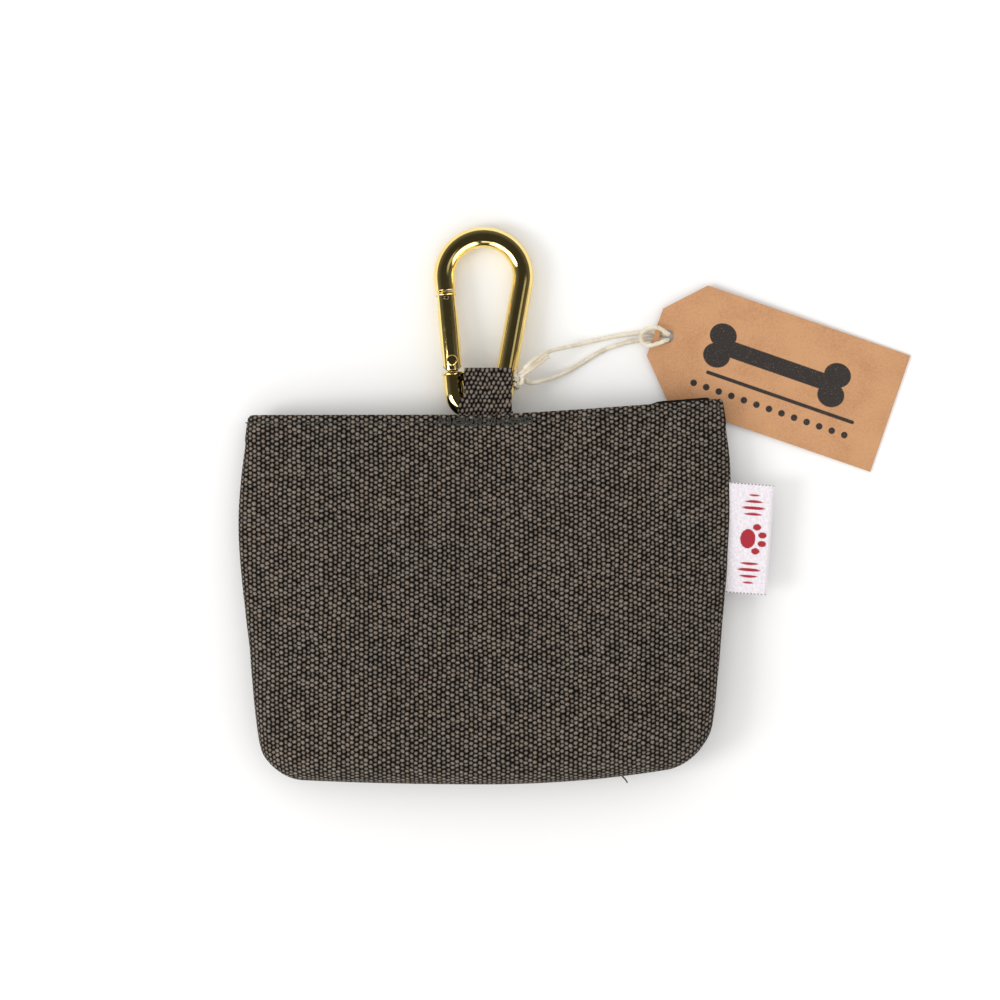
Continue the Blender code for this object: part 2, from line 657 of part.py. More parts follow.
def make_hook(shop, strap_frame):
    """The hook's bent wire with its two tongues, in the hook's own frame."""
    line = [(p.x, p.y, 0.0) for p in hook_centreline()]
    body = as_mesh(tube(line, 2 * WIRE_R, 4))
    smooth(body)
    lean = leg_lean()
    pivot = leg_point(GATE_PIVOT_Y)
    gate_frame = shop.frame("gate_hinge", mm(pivot.x, pivot.y, 0), (0, 0, lean), strap_frame)

    overlap = 1.2
    heel = box((-TONGUE_HALF, -GATE_R - GAP - overlap, -TONGUE), (TONGUE_HALF, TONGUE_HALF, TONGUE))
    shop.cutter(heel, "heel_tongue", gate_frame)
    nose_low = LATCH_PIN_REACH - LATCH_PIN_R - 0.7 - 1.2
    stem_in = -LATCH_PIN_R - GAP
    stem = box((-2.2, nose_low, -TONGUE), (stem_in, GATE_REACH + GAP + overlap, TONGUE))
    shop.cutter(stem, "nose_stem", gate_frame)
    lip = box((-2.2 + 0.05, nose_low - 0.02, -TONGUE + 0.02),
              (1.0, nose_low + 1.2, TONGUE - 0.02))
    shop.cutter(lip, "nose_lip", gate_frame)
    rivet_hole = cylinder(RIVET_R + 0.2, 4 * TONGUE, (0, 0, 0), sides=16)
    shop.cutter(rivet_hole, "heel_rivet_hole", gate_frame)
    shop.keep(body, "hook_body", "gold_plate", strap_frame)
    for piece in (heel, stem, lip):
        boolean(body, piece, "UNION")
    boolean(body, rivet_hole)

    gate = turned([(0, GATE_REACH), (GATE_R - 0.3, GATE_REACH), (GATE_R, GATE_REACH - 0.3), (GATE_R, 0)]
                  + [(GATE_R * math.cos(a), -GATE_R * math.sin(a))
                     for a in (math.pi / 8, math.pi / 4, 3 * math.pi / 8)]
                  + [(0, -GATE_R)], 24)
    upright = Matrix.Rotation(-math.pi / 2, 4, "X")
    gate.data.transform(upright)
    gate.modifiers["turn"].axis = "Y"
    reach = 2 * GATE_R
    heel_slot = box((-reach, -reach, -GATE_SLOT), (reach, TONGUE_HALF * 1.42 + GAP, GATE_SLOT))
    nose_slot = box((-reach, GATE_REACH - NOSE_SLOT_DEPTH, -GATE_SLOT), (reach, GATE_REACH + 2, GATE_SLOT))
    bore_top = 2.6 + PLUNGER_LENGTH + SPRING_LENGTH + 1.2
    bore = cylinder(BORE_R, bore_top, (0, bore_top / 2, 0), "Y", 20)
    pin_hole = cylinder(LATCH_PIN_R + 0.15, 4 * GATE_R, (0, LATCH_PIN_REACH, 0), sides=16)
    ear_hole = cylinder(RIVET_R + 0.15, 4 * GATE_R, (0, 0, 0), sides=16)
    for piece, name in ((heel_slot, "gate_heel_slot"), (nose_slot, "gate_nose_slot"),
                        (bore, "gate_bore"), (pin_hole, "gate_pin_hole"), (ear_hole, "gate_ear_hole")):
        shop.cutter(piece, name, gate_frame)
        boolean(gate, piece)
    shop.keep(gate, "gate", "gold_plate", gate_frame)

    half = GATE_R + 0.1
    rivet = turned([(0, half + RIVET_HEAD), (RIVET_HEAD_R * 0.7, half + RIVET_HEAD * 0.8),
                    (RIVET_HEAD_R, half), (RIVET_R, half), (RIVET_R, -half), (RIVET_HEAD_R, -half),
                    (RIVET_HEAD_R * 0.7, -half - RIVET_HEAD * 0.8), (0, -half - RIVET_HEAD)], 16)
    shop.keep(rivet, "pivot_rivet", "gold_plate", gate_frame)
    pin_half = math.sqrt(GATE_R ** 2 - LATCH_PIN_R ** 2) - 0.05
    pin = cylinder(LATCH_PIN_R, 2 * pin_half, (0, LATCH_PIN_REACH, 0), sides=16)
    shop.keep(pin, "latch_pin", "gold_plate", gate_frame)

    tip = TONGUE_HALF + GAP
    plunger = cylinder(PLUNGER_R, PLUNGER_LENGTH, (0, tip + PLUNGER_LENGTH / 2, 0), "Y", 16)
    shop.keep(plunger, "gate_plunger", "spring_steel", gate_frame)
    start = tip + PLUNGER_LENGTH + GAP
    steps = SPRING_TURNS * 10
    coil = [(SPRING_R * math.cos(2 * math.pi * i / 10), start + SPRING_WIRE / 2
             + (SPRING_LENGTH - SPRING_WIRE) * i / steps, SPRING_R * math.sin(2 * math.pi * i / 10))
            for i in range(steps + 1)]
    shop.keep(tube(coil, SPRING_WIRE, 1), "gate_spring", "spring_steel", gate_frame)


def make_hook_frame(shop):
    """The hook's frame: its foot lies in the strap and its round end rests on the surface."""
    pitch = hook_pitch()
    foot_y = POUCH_MOUTH_Y + HOOK_FOOT_ABOVE_LIP
    place = mm(HOOK_X, foot_y, foot_z() + math.sin(-pitch) * WIRE_R)
    return shop.frame("hook_place", place, (pitch, 0, math.radians(HOOK_YAW)))


# ---------------------------------------------------------------- tag
def card_outline():
    """The card in its own plane: x along it from the string end, y across it."""
    half = CARD_HEIGHT / 2
    end = half - CARD_CHAMFER_ACROSS
    return [(0, end), (0, -end), (CARD_CHAMFER_ALONG, -half), (CARD_LENGTH, -half),
            (CARD_LENGTH, half), (CARD_CHAMFER_ALONG, half)]


def make_tag(shop):
    curve = bpy.data.curves.new("card", "CURVE")
    curve.dimensions = "2D"
    curve.fill_mode = "BOTH"
    curve.extrude = CARD / 2000
    ring = [(CARD_HOLE_INSET + CARD_HOLE_R * math.cos(a * math.pi / 12),
             CARD_HOLE_R * math.sin(a * math.pi / 12)) for a in range(24)]
    for outline in (card_outline(), ring):
        spline = curve.splines.new("POLY")
        spline.points.add(len(outline) - 1)
        for target, (x, y) in zip(spline.points, outline):
            target.co = (*mm(x, y, 0), 1.0)
        spline.use_cyclic_u = True
    card = bpy.data.objects.new("card", curve)
    bpy.context.scene.collection.objects.link(card)
    slope = math.asin(CARD_LIFT / CARD_LENGTH)
    card.rotation_euler = (Matrix.Rotation(math.radians(CARD_ANGLE), 4, "Z")
                           @ Matrix.Rotation(slope, 4, "Y")).to_euler()
    card.location = mm(*CARD_END, CARD_LIFT + CARD / 2 + 0.05)
    shop.keep(card, "tag_card", "kraft_card")

    for points, name in ((STRING_FAR, "tag_string_far"), (STRING_NEAR_A, "tag_string_near_a"),
                         (STRING_NEAR_B, "tag_string_near_b")):
        count = 2 * (len(points) - 1)
        route = [catmull(points, i / 2) for i in range(count + 1)]
        shop.keep(tube(route, STRING, 2), name, "cotton_string")


def make_knot(shop, parent):
    """The string's turn round the hook's right leg, in the hook's frame, open under the strap."""
    leg = leg_point(KNOT_Y, 1.0)
    radius = WIRE_R + STRING / 2 + GAP
    turns = [math.radians(KNOT_FROM + (KNOT_TO - KNOT_FROM) * i / 20) for i in range(21)]
    ring = [(leg.x + radius * math.cos(turn), leg.y, radius * math.sin(turn)) for turn in turns]
    shop.keep(tube(ring, STRING, 2), "tag_knot", "cotton_string", parent)


def main():
    clear_scene()
    shop = Shop()
    make_bag(shop)
    make_bartack(shop)
    make_label(shop)
    make_snap(shop)
    make_strap(shop)
    hook_frame = make_hook_frame(shop)
    make_hook(shop, hook_frame)
    make_tag(shop)
    make_knot(shop, hook_frame)


main()
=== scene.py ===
"""The looks of a canvas treat pouch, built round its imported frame.

The pouch lies on its back. Its canvas, lining, webbing, sewn work, woven label, gold-plated snap
hook and card tag on a cotton string are made here, each in the place that the frame holds for it.
Sizes are in millimetres, and MM turns them into the frame's metres.
"""

import json
import logging
import math
import random
from dataclasses import dataclass
from enum import Enum
from typing import Callable, Iterable, Sequence

import bmesh
import bpy
import numpy as np
from mathutils import Matrix, Vector, noise

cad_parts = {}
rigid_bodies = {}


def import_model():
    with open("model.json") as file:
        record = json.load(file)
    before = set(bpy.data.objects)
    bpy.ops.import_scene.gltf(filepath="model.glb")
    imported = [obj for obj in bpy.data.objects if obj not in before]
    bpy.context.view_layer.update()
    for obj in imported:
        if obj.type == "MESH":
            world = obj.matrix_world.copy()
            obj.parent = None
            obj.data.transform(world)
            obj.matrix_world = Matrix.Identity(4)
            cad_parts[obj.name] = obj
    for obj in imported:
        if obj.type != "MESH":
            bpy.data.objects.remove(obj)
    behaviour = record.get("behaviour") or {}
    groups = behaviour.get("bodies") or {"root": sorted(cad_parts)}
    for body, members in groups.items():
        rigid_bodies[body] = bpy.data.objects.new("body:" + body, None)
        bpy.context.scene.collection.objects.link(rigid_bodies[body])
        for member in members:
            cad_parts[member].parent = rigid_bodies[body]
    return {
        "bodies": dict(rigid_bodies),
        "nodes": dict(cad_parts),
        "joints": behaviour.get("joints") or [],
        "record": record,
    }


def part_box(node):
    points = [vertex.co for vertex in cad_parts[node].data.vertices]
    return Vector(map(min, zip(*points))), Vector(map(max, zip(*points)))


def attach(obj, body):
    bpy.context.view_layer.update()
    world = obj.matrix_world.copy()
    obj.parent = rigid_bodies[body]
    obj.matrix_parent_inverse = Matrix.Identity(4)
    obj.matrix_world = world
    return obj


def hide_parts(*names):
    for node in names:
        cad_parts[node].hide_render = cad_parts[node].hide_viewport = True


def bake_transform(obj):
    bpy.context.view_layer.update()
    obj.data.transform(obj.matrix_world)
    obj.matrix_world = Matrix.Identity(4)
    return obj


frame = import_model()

MM = 0.001
CUT_MAP = "cut"               # the UV map that gives each piece's flat cloth, in metres
Colour = tuple[float, float, float]
logging.basicConfig(level=logging.INFO, format="%(levelname)s %(message)s")
log = logging.getLogger("treat_pouch")


# ------------------------------------------------------------------------------ small tools
def mm(x: float, y: float, z: float = 0.0) -> Vector:
    """A point given in millimetres, in metres."""
    return Vector((x, y, z)) * MM


def smooth_step(low: float, high: float, value: float) -> float:
    """0 below low, 1 above high, and a smooth rise between them."""
    t = min(1.0, max(0.0, (value - low) / (high - low)))
    return t * t * (3.0 - 2.0 * t)


def bell(value: float, centre: float, spread: float) -> float:
    """A bell curve of height 1."""
    return math.exp(-((value - centre) / spread) ** 2)


def srgb(red: int, green: int, blue: int) -> Colour:
    """A screen colour, 0 to 255, as linear light."""
    def linear(value: int) -> float:
        share = value / 255
        return share / 12.92 if share <= 0.04045 else ((share + 0.055) / 1.055) ** 2.4
    return linear(red), linear(green), linear(blue)


def catmull(points: Sequence[Vector], per_span: int) -> list[Vector]:
    """A smooth line through points.

    Args:
        points: The points that the line passes through.
        per_span: How many steps it takes between two of them.

    Returns:
        The line's points, the given ones among them.
    """
    line = []
    for i in range(len(points) - 1):
        p1, p2 = points[i], points[i + 1]
        p0 = points[i - 1] if i else 2 * p1 - p2
        p3 = points[i + 2] if i + 2 < len(points) else 2 * p2 - p1
        for step in range(per_span):
            f = step / per_span
            line.append(0.5 * (2 * p1 + (p2 - p0) * f + (2 * p0 - 5 * p1 + 4 * p2 - p3) * f * f
                               + (3 * p1 - p0 - 3 * p2 + p3) * f ** 3))
    line.append(points[-1].copy())
    return line


def line_length(line: Sequence[Vector]) -> float:
    """The length of a line of points."""
    return sum((b - a).length for a, b in zip(line, line[1:]))


class Bench:
    """Blender's modelling operators, used as by hand on one piece at a time."""

    @staticmethod
    def clear() -> None:
        """Deselects everything and leaves edit mode."""
        if bpy.context.object and bpy.context.object.mode != "OBJECT":
            bpy.ops.object.mode_set(mode="OBJECT")
        bpy.ops.object.select_all(action="DESELECT")

    @staticmethod
    def pick(piece: bpy.types.Object) -> None:
        """Makes piece the only one selected, and active."""
        Bench.clear()
        piece.select_set(True)
        bpy.context.view_layer.objects.active = piece

    @staticmethod
    def made(name: str) -> bpy.types.Object:
        """Names the piece that an operator has just added."""
        piece = bpy.context.object
        piece.name = name
        piece.data.name = name
        return piece

    @staticmethod
    def put(name: str, data: bpy.types.ID) -> bpy.types.Object:
        """Puts a mesh, curve, light or camera into the scene as an object."""
        piece = bpy.data.objects.new(name, data)
        bpy.context.scene.collection.objects.link(piece)
        return piece

    @staticmethod
    def settle(piece: bpy.types.Object) -> None:
        """Applies the piece's place, turn and scale to its mesh."""
        Bench.pick(piece)
        bpy.ops.object.transform_apply(location=True, rotation=True, scale=True)

    @staticmethod
    def apply(piece: bpy.types.Object, kind: str, **settings: object) -> None:
        """Adds a modifier with these settings and applies it."""
        Bench.pick(piece)
        modifier = piece.modifiers.new(kind.lower(), kind)
        for key, value in settings.items():
            setattr(modifier, key, value)
        bpy.ops.object.modifier_apply(modifier=modifier.name)

    @staticmethod
    def cut(piece: bpy.types.Object, tool: bpy.types.Object, operation: str = "DIFFERENCE") -> None:
        """Cuts piece with tool, or joins tool to it, and removes tool."""
        Bench.apply(piece, "BOOLEAN", object=tool, operation=operation, solver="EXACT")
        bpy.data.objects.remove(tool, do_unlink=True)

    @staticmethod
    def box(name: str, low: Vector, high: Vector, round_by: float = 0.0) -> bpy.types.Object:
        """A box between two corners, in metres, with its edges rounded by round_by."""
        Bench.clear()
        bpy.ops.mesh.primitive_cube_add(size=1.0, location=(low + high) / 2)
        piece = Bench.made(name)
        piece.scale = high - low
        Bench.settle(piece)
        if round_by:
            Bench.apply(piece, "BEVEL", width=round_by, segments=3)
        return piece

    @staticmethod
    def rod(name: str, radius: float, low: float, high: float, axis: str = "Z", sides: int = 32,
            round_by: float = 0.0) -> bpy.types.Object:
        """A round rod on an axis of its own frame, with its rims rounded.

        Args:
            name: The piece's name.
            radius: Its radius, in metres.
            low: Where it starts on its axis.
            high: Where it ends.
            axis: X, Y or Z.
            sides: How many flats make it round.
            round_by: How far its rims are rounded.

        Returns:
            The rod, at its place in its mesh.
        """
        Bench.clear()
        bpy.ops.mesh.primitive_cylinder_add(vertices=sides, radius=radius, depth=high - low)
        piece = Bench.made(name)
        turn = {"Z": Matrix(), "X": Matrix.Rotation(math.pi / 2, 4, "Y"),
                "Y": Matrix.Rotation(-math.pi / 2, 4, "X")}[axis]
        middle = {"X": 0, "Y": 1, "Z": 2}[axis]
        place = Vector((0, 0, 0))
        place[middle] = (low + high) / 2
        piece.data.transform(Matrix.Translation(place) @ turn)
        if round_by:
            Bench.apply(piece, "BEVEL", width=round_by, segments=4, limit_method="ANGLE",
                        angle_limit=math.radians(50))
        return piece

    @staticmethod
    def smooth(piece: bpy.types.Object, angle: float = 35.0) -> None:
        """Shades piece smooth, apart from edges sharper than angle, in degrees."""
        Bench.pick(piece)
        bpy.ops.object.shade_smooth_by_angle(angle=math.radians(angle))

    @staticmethod
    def tube(name: str, line: Sequence[Vector], radius: float, resolution: int = 4
             ) -> bpy.types.Object:
        """A round tube along a line of points in metres, made a mesh with its caps welded."""
        curve = bpy.data.curves.new(name, "CURVE")
        curve.dimensions = "3D"
        curve.bevel_depth = radius
        curve.bevel_resolution = resolution
        curve.use_fill_caps = True
        spline = curve.splines.new("POLY")
        spline.points.add(len(line) - 1)
        for target, point in zip(spline.points, line):
            target.co = (*point, 1.0)
        Bench.pick(Bench.put(name, curve))
        bpy.ops.object.convert(target="MESH")
        piece = bpy.context.object
        bpy.ops.object.mode_set(mode="EDIT")
        bpy.ops.mesh.select_all(action="SELECT")
        bpy.ops.mesh.remove_doubles(threshold=0.000002)
        bpy.ops.mesh.normals_make_consistent(inside=False)
        bpy.ops.object.mode_set(mode="OBJECT")
        Bench.smooth(piece, 50.0)
        return piece

    @staticmethod
    def join(name: str, pieces: Sequence[bpy.types.Object]) -> bpy.types.Object:
        """Joins pieces into one object, in which they stay separate shells."""
        Bench.clear()
        for piece in pieces:
            piece.select_set(True)
        bpy.context.view_layer.objects.active = pieces[0]
        if len(pieces) > 1:
            bpy.ops.object.join()
        piece = bpy.context.object
        piece.name = name
        piece.data.name = name
        return piece


def lay_out(mesh: bpy.types.Mesh, cuts: dict[int, tuple[float, float]]) -> None:
    """Writes the cut map: each vertex's place on the flat cloth, given in millimetres."""
    layer = mesh.uv_layers[0]
    layer.name = CUT_MAP
    for loop in mesh.loops:
        u, v = cuts[loop.vertex_index]
        layer.data[loop.index].uv = (u * MM, v * MM)


def repeat(name: str, pattern: bpy.types.Object, places: Iterable[Matrix]) -> bpy.types.Object:
    """Copies of a small pattern at each place, as one piece; the pattern is removed."""
    mesh = bpy.data.meshes.new(name)
    work = bmesh.new()
    for place in places:
        first = len(work.verts)
        work.from_mesh(pattern.data)
        work.verts.ensure_lookup_table()
        bmesh.ops.transform(work, matrix=place, verts=work.verts[first:])
    work.to_mesh(mesh)
    work.free()
    piece = Bench.put(name, mesh)
    bpy.data.objects.remove(pattern, do_unlink=True)
    return piece


# ------------------------------------------------------------------------------ shader tools
class Value:
    """One output socket of a material; arithmetic on it adds Math nodes."""

    def __init__(self, dye: "Dye", socket: bpy.types.NodeSocket) -> None:
        """Wraps a socket of the material that dye is making."""
        self.dye = dye
        self.socket = socket

    def math(self, operation: str, *others: "Value | float") -> "Value":
        """A Math node on this value and others."""
        inputs = dict(enumerate((self, *others)))
        return self.dye.node("ShaderNodeMath", {"operation": operation}, inputs)

    def __add__(self, other: "Value | float") -> "Value":
        """This value plus other."""
        return self.math("ADD", other)

    __radd__ = __add__

    def __mul__(self, other: "Value | float") -> "Value":
        """This value times other."""
        return self.math("MULTIPLY", other)

    __rmul__ = __mul__

    def __sub__(self, other: "Value | float") -> "Value":
        """This value less other."""
        return self.math("SUBTRACT", other)

    def __rsub__(self, other: float) -> "Value":
        """A number less this value."""
        return self.dye.node("ShaderNodeMath", {"operation": "SUBTRACT"}, {0: other, 1: self})

    def __truediv__(self, other: "Value | float") -> "Value":
        """This value over other."""
        return self.math("DIVIDE", other)

    def __mod__(self, other: float) -> "Value":
        """What is left of this value past whole steps of other, never negative."""
        return self.math("FLOORED_MODULO", other)

    def floor(self) -> "Value":
        """This value rounded down."""
        return self.math("FLOOR")

    def size(self) -> "Value":
        """This value without its sign."""
        return self.math("ABSOLUTE")

    def most(self, other: "Value | float") -> "Value":
        """The larger of this value and other."""
        return self.math("MAXIMUM", other)

    def wave(self) -> "Value":
        """This value's sine."""
        return self.math("SINE")

    def root(self) -> "Value":
        """This value's square root."""
        return self.math("SQRT")

    def ramp(self, low: float, high: float, start: float = 0.0, end: float = 1.0) -> "Value":
        """This value carried smoothly from low..high to start..end."""
        return self.dye.node(
            "ShaderNodeMapRange", {"interpolation_type": "SMOOTHSTEP"},
            {0: self, 1: low, 2: high, 3: start, 4: end})


class Dye:
    """A material in the making."""

    def __init__(self, name: str) -> None:
        """Starts a material with a Principled shader."""
        self.material = bpy.data.materials.new(name)
        self.material.use_nodes = True
        self.tree = self.material.node_tree
        self.shader = self.tree.nodes["Principled BSDF"]

    def node(self, kind: str, settings: dict | None = None, inputs: dict | None = None,
             output: int | str = 0) -> Value:
        """Adds a node.

        Args:
            kind: The node's type.
            settings: Its settings, such as an operation, or a ramp's stops.
            inputs: Values or links for its sockets, by name or number.
            output: The socket that is wanted.

        Returns:
            That socket as a value.
        """
        node = self.tree.nodes.new(kind)
        for key, value in (settings or {}).items():
            if key == "stops":
                self._stops(node.color_ramp, value)
            else:
                setattr(node, key, value)
        for key, value in (inputs or {}).items():
            self._feed(node.inputs[key], value)
        return Value(self, node.outputs[output])

    def _stops(self, ramp: bpy.types.ColorRamp, stops: Sequence[tuple[float, Colour]]) -> None:
        """Sets a colour ramp's stops."""
        while len(ramp.elements) < len(stops):
            ramp.elements.new(1.0)
        for element, (place, colour) in zip(ramp.elements, stops):
            element.position = place
            element.color = (*colour, 1.0)

    def _feed(self, socket: bpy.types.NodeSocket, value: object) -> None:
        """Links a value to a socket, or sets a number or a colour on it."""
        if isinstance(value, Value):
            self.tree.links.new(value.socket, socket)
        elif isinstance(value, tuple) and len(value) == 3 and socket.type == "RGBA":
            socket.default_value = (*value, 1.0)
        else:
            socket.default_value = value

    def set(self, **sockets: object) -> None:
        """Feeds the Principled shader: Base_Color stands for Base Color."""
        for key, value in sockets.items():
            self._feed(self.shader.inputs[key.replace("_", " ")], value)

    def cut(self) -> tuple[Value, Value]:
        """Where a point lies on the flat cloth or card, in millimetres."""
        place = self.node("ShaderNodeUVMap", {"uv_map": CUT_MAP})
        return tuple(self.node("ShaderNodeSeparateXYZ", None, {0: place}, i) * (1 / MM)
                     for i in (0, 1))

    def place(self) -> Value:
        """Where a point is on the object, in metres."""
        return self.node("ShaderNodeTexCoord", None, None, "Object")

    def point(self, x: Value | float, y: Value | float, z: Value | float = 0.0) -> Value:
        """Three numbers as a vector."""
        return self.node("ShaderNodeCombineXYZ", None, {0: x, 1: y, 2: z})

    def noise(self, place: Value, scale: float, detail: float = 2.0, rough: float = 0.5) -> Value:
        """Soft noise about 0.5."""
        return self.node("ShaderNodeTexNoise", None,
                         {"Vector": place, "Scale": scale, "Detail": detail, "Roughness": rough})

    def scatter(self, place: Value) -> Value:
        """A random number for each place, from 0 to 1."""
        return self.node("ShaderNodeTexWhiteNoise", {"noise_dimensions": "3D"}, {"Vector": place})

    def blend(self, share: Value | float, first: Value | Colour, second: Value | Colour,
              way: str = "MIX") -> Value:
        """Two colours mixed."""
        return self.node("ShaderNodeMix", {"data_type": "RGBA", "blend_type": way},
                         {0: share, 6: first, 7: second}, 2)

    def bump(self, height: Value, depth: float, strength: float = 1.0) -> Value:
        """A relief, depth metres high, for the shader's normal."""
        return self.node("ShaderNodeBump", None,
                         {"Height": height, "Distance": depth, "Strength": strength})


class SkyDye(Dye):
    """The surround's light in the making."""

    def __init__(self, world: bpy.types.World) -> None:
        """Starts from the world's Background shader."""
        self.tree = world.node_tree
        self.shader = self.tree.nodes["Background"]

    def light(self, colour: Value, strength: float) -> None:
        """Feeds the surround."""
        self._feed(self.shader.inputs["Color"], colour)
        self._feed(self.shader.inputs["Strength"], strength)


@dataclass(frozen=True)
class WovenFinish:
    """Plain-woven duck of mottled yarns, crowns in columns: a painted highlight on each crown,
    painted shade where the yarns dip.
    """

    name: str
    warp: float = 1.36            # millimetres from yarn to yarn
    weft: float = 0.73
    crown_wide: float = 0.55      # half a crown's width, in warp pitches
    crown_tall: float = 0.95      # half its height, in weft pitches
    slant: float = 0.05           # the yarn's twist leans each crown
    stray: float = 0.14           # how far a crown strays from its place, in pitches
    # the gap and edge colours are painted shade where the yarns dip; the crown colour is a painted
    # highlight on the crowns; the yarn colour is the yarn's own
    gap_colour: Colour = srgb(4, 3, 2)
    edge_colour: Colour = srgb(27, 22, 18)
    yarn_colour: Colour = srgb(77, 68, 60)
    crown_colour: Colour = srgb(152, 141, 131)
    relief: float = 0.0003

    def crowns(self, dye: Dye, u: Value, v: Value, shift: float) -> tuple[Value, Value]:
        """Args:
            dye: The material in the making.
            u: Place across the cloth, in warp pitches.
            v: Place along the cloth, in weft pitches.
            shift: 0 for the even rows, 1 for the odd ones.

        Returns:
            How high the crown stands, and its own random number.
        """
        column, row = ((u + shift) / 2.0).floor(), ((v + shift) / 2.0).floor()
        chance = dye.scatter(dye.point(column, row, shift + 0.5))
        other = dye.scatter(dye.point(row, column, shift + 7.5))
        across = (u + shift) % 2.0 - 1.0 + (chance - 0.5) * self.stray
        along = (v + shift) % 2.0 - 1.0 + (other - 0.5) * 2.4 * self.stray
        lean = across + along * (self.slant * 2.0 * other)
        wide = self.crown_wide * (0.86 + chance * 0.26)
        tall = self.crown_tall * (0.88 + other * 0.24)
        across, along = lean / wide, (along - across * 0.12) / tall
        return 1.0 - (across * across + along * along), chance

    def material(self) -> bpy.types.Material:
        """The finish as a material."""
        dye = Dye(self.name)
        u, v = dye.cut()
        flat = dye.point(u, v)
        drift = (dye.noise(flat, 0.10, 2.0) - 0.5) * 0.9
        wander = (dye.noise(flat, 0.14, 2.0, 0.6) - 0.5) * 1.5
        fuzz = dye.noise(flat, 3.4, 3.0, 0.72) - 0.5
        u = u / self.warp + drift + fuzz * 0.30
        v = v / self.weft + wander + fuzz * 0.62
        even, first = self.crowns(dye, u, v, 0.0)
        odd, second = self.crowns(dye, u, v, 1.0)
        over = even.math("GREATER_THAN", odd)
        height = even.most(odd)
        chance = first * over + second * (1.0 - over)
        crown = height.most(-0.35)
        fibre = dye.noise(dye.point(u * 2.6 + v * 0.8, v * 0.6), 1.7, 3.0, 0.7) - 0.5
        # the crown's height gives a painted highlight on its top and painted shade in the dips;
        # chance, fibre and fuzz are the yarns' own random tone
        tone = crown.ramp(-0.28, 0.70) * 0.40 + crown * 0.36 + 0.07 + (
            chance - 0.5) * 0.12 + fibre * 0.40 + fuzz * 0.22
        patch = dye.noise(flat, 0.05, 4.0, 0.62)
        # the ramp runs from painted shade in the gaps, through the yarn's own colour, to a painted
        # highlight on the crowns
        shade = dye.node("ShaderNodeValToRGB", {"stops": [
            (0.10, self.gap_colour), (0.36, self.edge_colour), (0.62, self.yarn_colour),
            (1.0, self.crown_colour)]}, {0: tone + (patch - 0.5) * 0.08})
        tint = dye.noise(dye.point(u * 0.045, v * 0.045, 4.0), 1.0, 3.0, 0.6)
        warmth = dye.blend(tint.ramp(0.40, 0.66), (1.02, 1.0, 0.985), (0.96, 0.99, 0.98))
        colour = dye.blend(1.0, shade, warmth, "MULTIPLY")
        normal = dye.bump(crown.most(-0.25) + fibre * 0.12, self.relief, 0.8)
        dye.set(Base_Color=colour, Roughness=0.9, Normal=normal, Sheen_Weight=0.03,
                Sheen_Roughness=0.6, Specular_IOR_Level=0.09)
        return dye.material


@dataclass(frozen=True)
class NylonFinish:
    """Thin black coated nylon, with a fine regular weave and soft crumples."""

    name: str = "lining_nylon"
    pitch: float = 0.32
    colour: Colour = srgb(22, 22, 24)

    def material(self) -> bpy.types.Material:
        """The finish as a material."""
        dye = Dye(self.name)
        u, v = dye.cut()
        rib = (u * (2 * math.pi / self.pitch)).wave() * (v * (2 * math.pi / self.pitch)).wave()
        flat = dye.point(u, v)
        crumple = dye.noise(flat, 0.12, 3.0, 0.55)
        normal = dye.bump(rib * 0.06 + crumple * 1.5, 0.0006, 0.6)
        tone = dye.noise(flat, 0.5, 2.0)
        colour = dye.blend(tone, self.colour, srgb(34, 34, 37))
        dye.set(Base_Color=colour, Roughness=0.38 + tone * 0.2, Normal=normal)
        return dye.material


@dataclass(frozen=True)
class ThreadFinish:
    """Twisted sewing thread."""

    name: str = "sewing_thread"
    colour: Colour = srgb(20, 20, 18)
    light: Colour = srgb(86, 87, 80)

    def material(self) -> bpy.types.Material:
        """The finish as a material."""
        dye = Dye(self.name)
        fibre = dye.noise(dye.place(), 5200.0, 2.0, 0.7)
        colour = dye.blend(fibre.ramp(0.35, 0.75), self.colour, self.light)
        dye.set(Base_Color=colour, Roughness=0.75, Normal=dye.bump(fibre, 0.0001, 0.6))
        return dye.material


@dataclass(frozen=True)
class GoldFinish:
    """Polished yellow plating with faint rub marks."""

    name: str = "gold_plate"
    colour: Colour = (1.0, 0.80, 0.33)
    gloss: float = 0.07

    def material(self) -> bpy.types.Material:
        """The finish as a material."""
        dye = Dye(self.name)
        place = dye.place()
        rub = dye.noise(place, 900.0, 4.0, 0.65)
        wear = dye.noise(place, 120.0, 3.0, 0.6)
        colour = dye.blend(wear.ramp(0.35, 0.7), self.colour, (0.96, 0.72, 0.25))
        dye.set(Base_Color=colour, Metallic=1.0, Roughness=self.gloss + rub.ramp(0.5, 0.85) * 0.12,
                Normal=dye.bump(rub, 0.00003, 0.35))
        return dye.material


@dataclass(frozen=True)
class SteelFinish:
    """Bare or nickel-plated metal."""

    name: str
    colour: Colour
    gloss: float

    def material(self) -> bpy.types.Material:
        """The finish as a material."""
        dye = Dye(self.name)
        scratch = dye.noise(dye.place(), 2600.0, 3.0, 0.7)
        colour = dye.blend(scratch, self.colour, tuple(0.8 * c for c in self.colour))
        dye.set(Base_Color=colour, Metallic=1.0, Roughness=self.gloss + scratch * 0.12,
                Normal=dye.bump(scratch, 0.00002, 0.4))
        return dye.material


@dataclass(frozen=True)
class MattedFinish:
    """Felted or pressed stuff, such as a stiffening patch or a sintered magnet."""

    name: str
    colour: Colour
    roughness: float

    def material(self) -> bpy.types.Material:
        """The finish as a material."""
        dye = Dye(self.name)
        mat = dye.noise(dye.place(), 1900.0, 4.0, 0.75)
        colour = dye.blend(mat, self.colour, tuple(0.78 * c for c in self.colour))
        dye.set(Base_Color=colour, Roughness=self.roughness, Normal=dye.bump(mat, 0.0001, 0.5))
        return dye.material


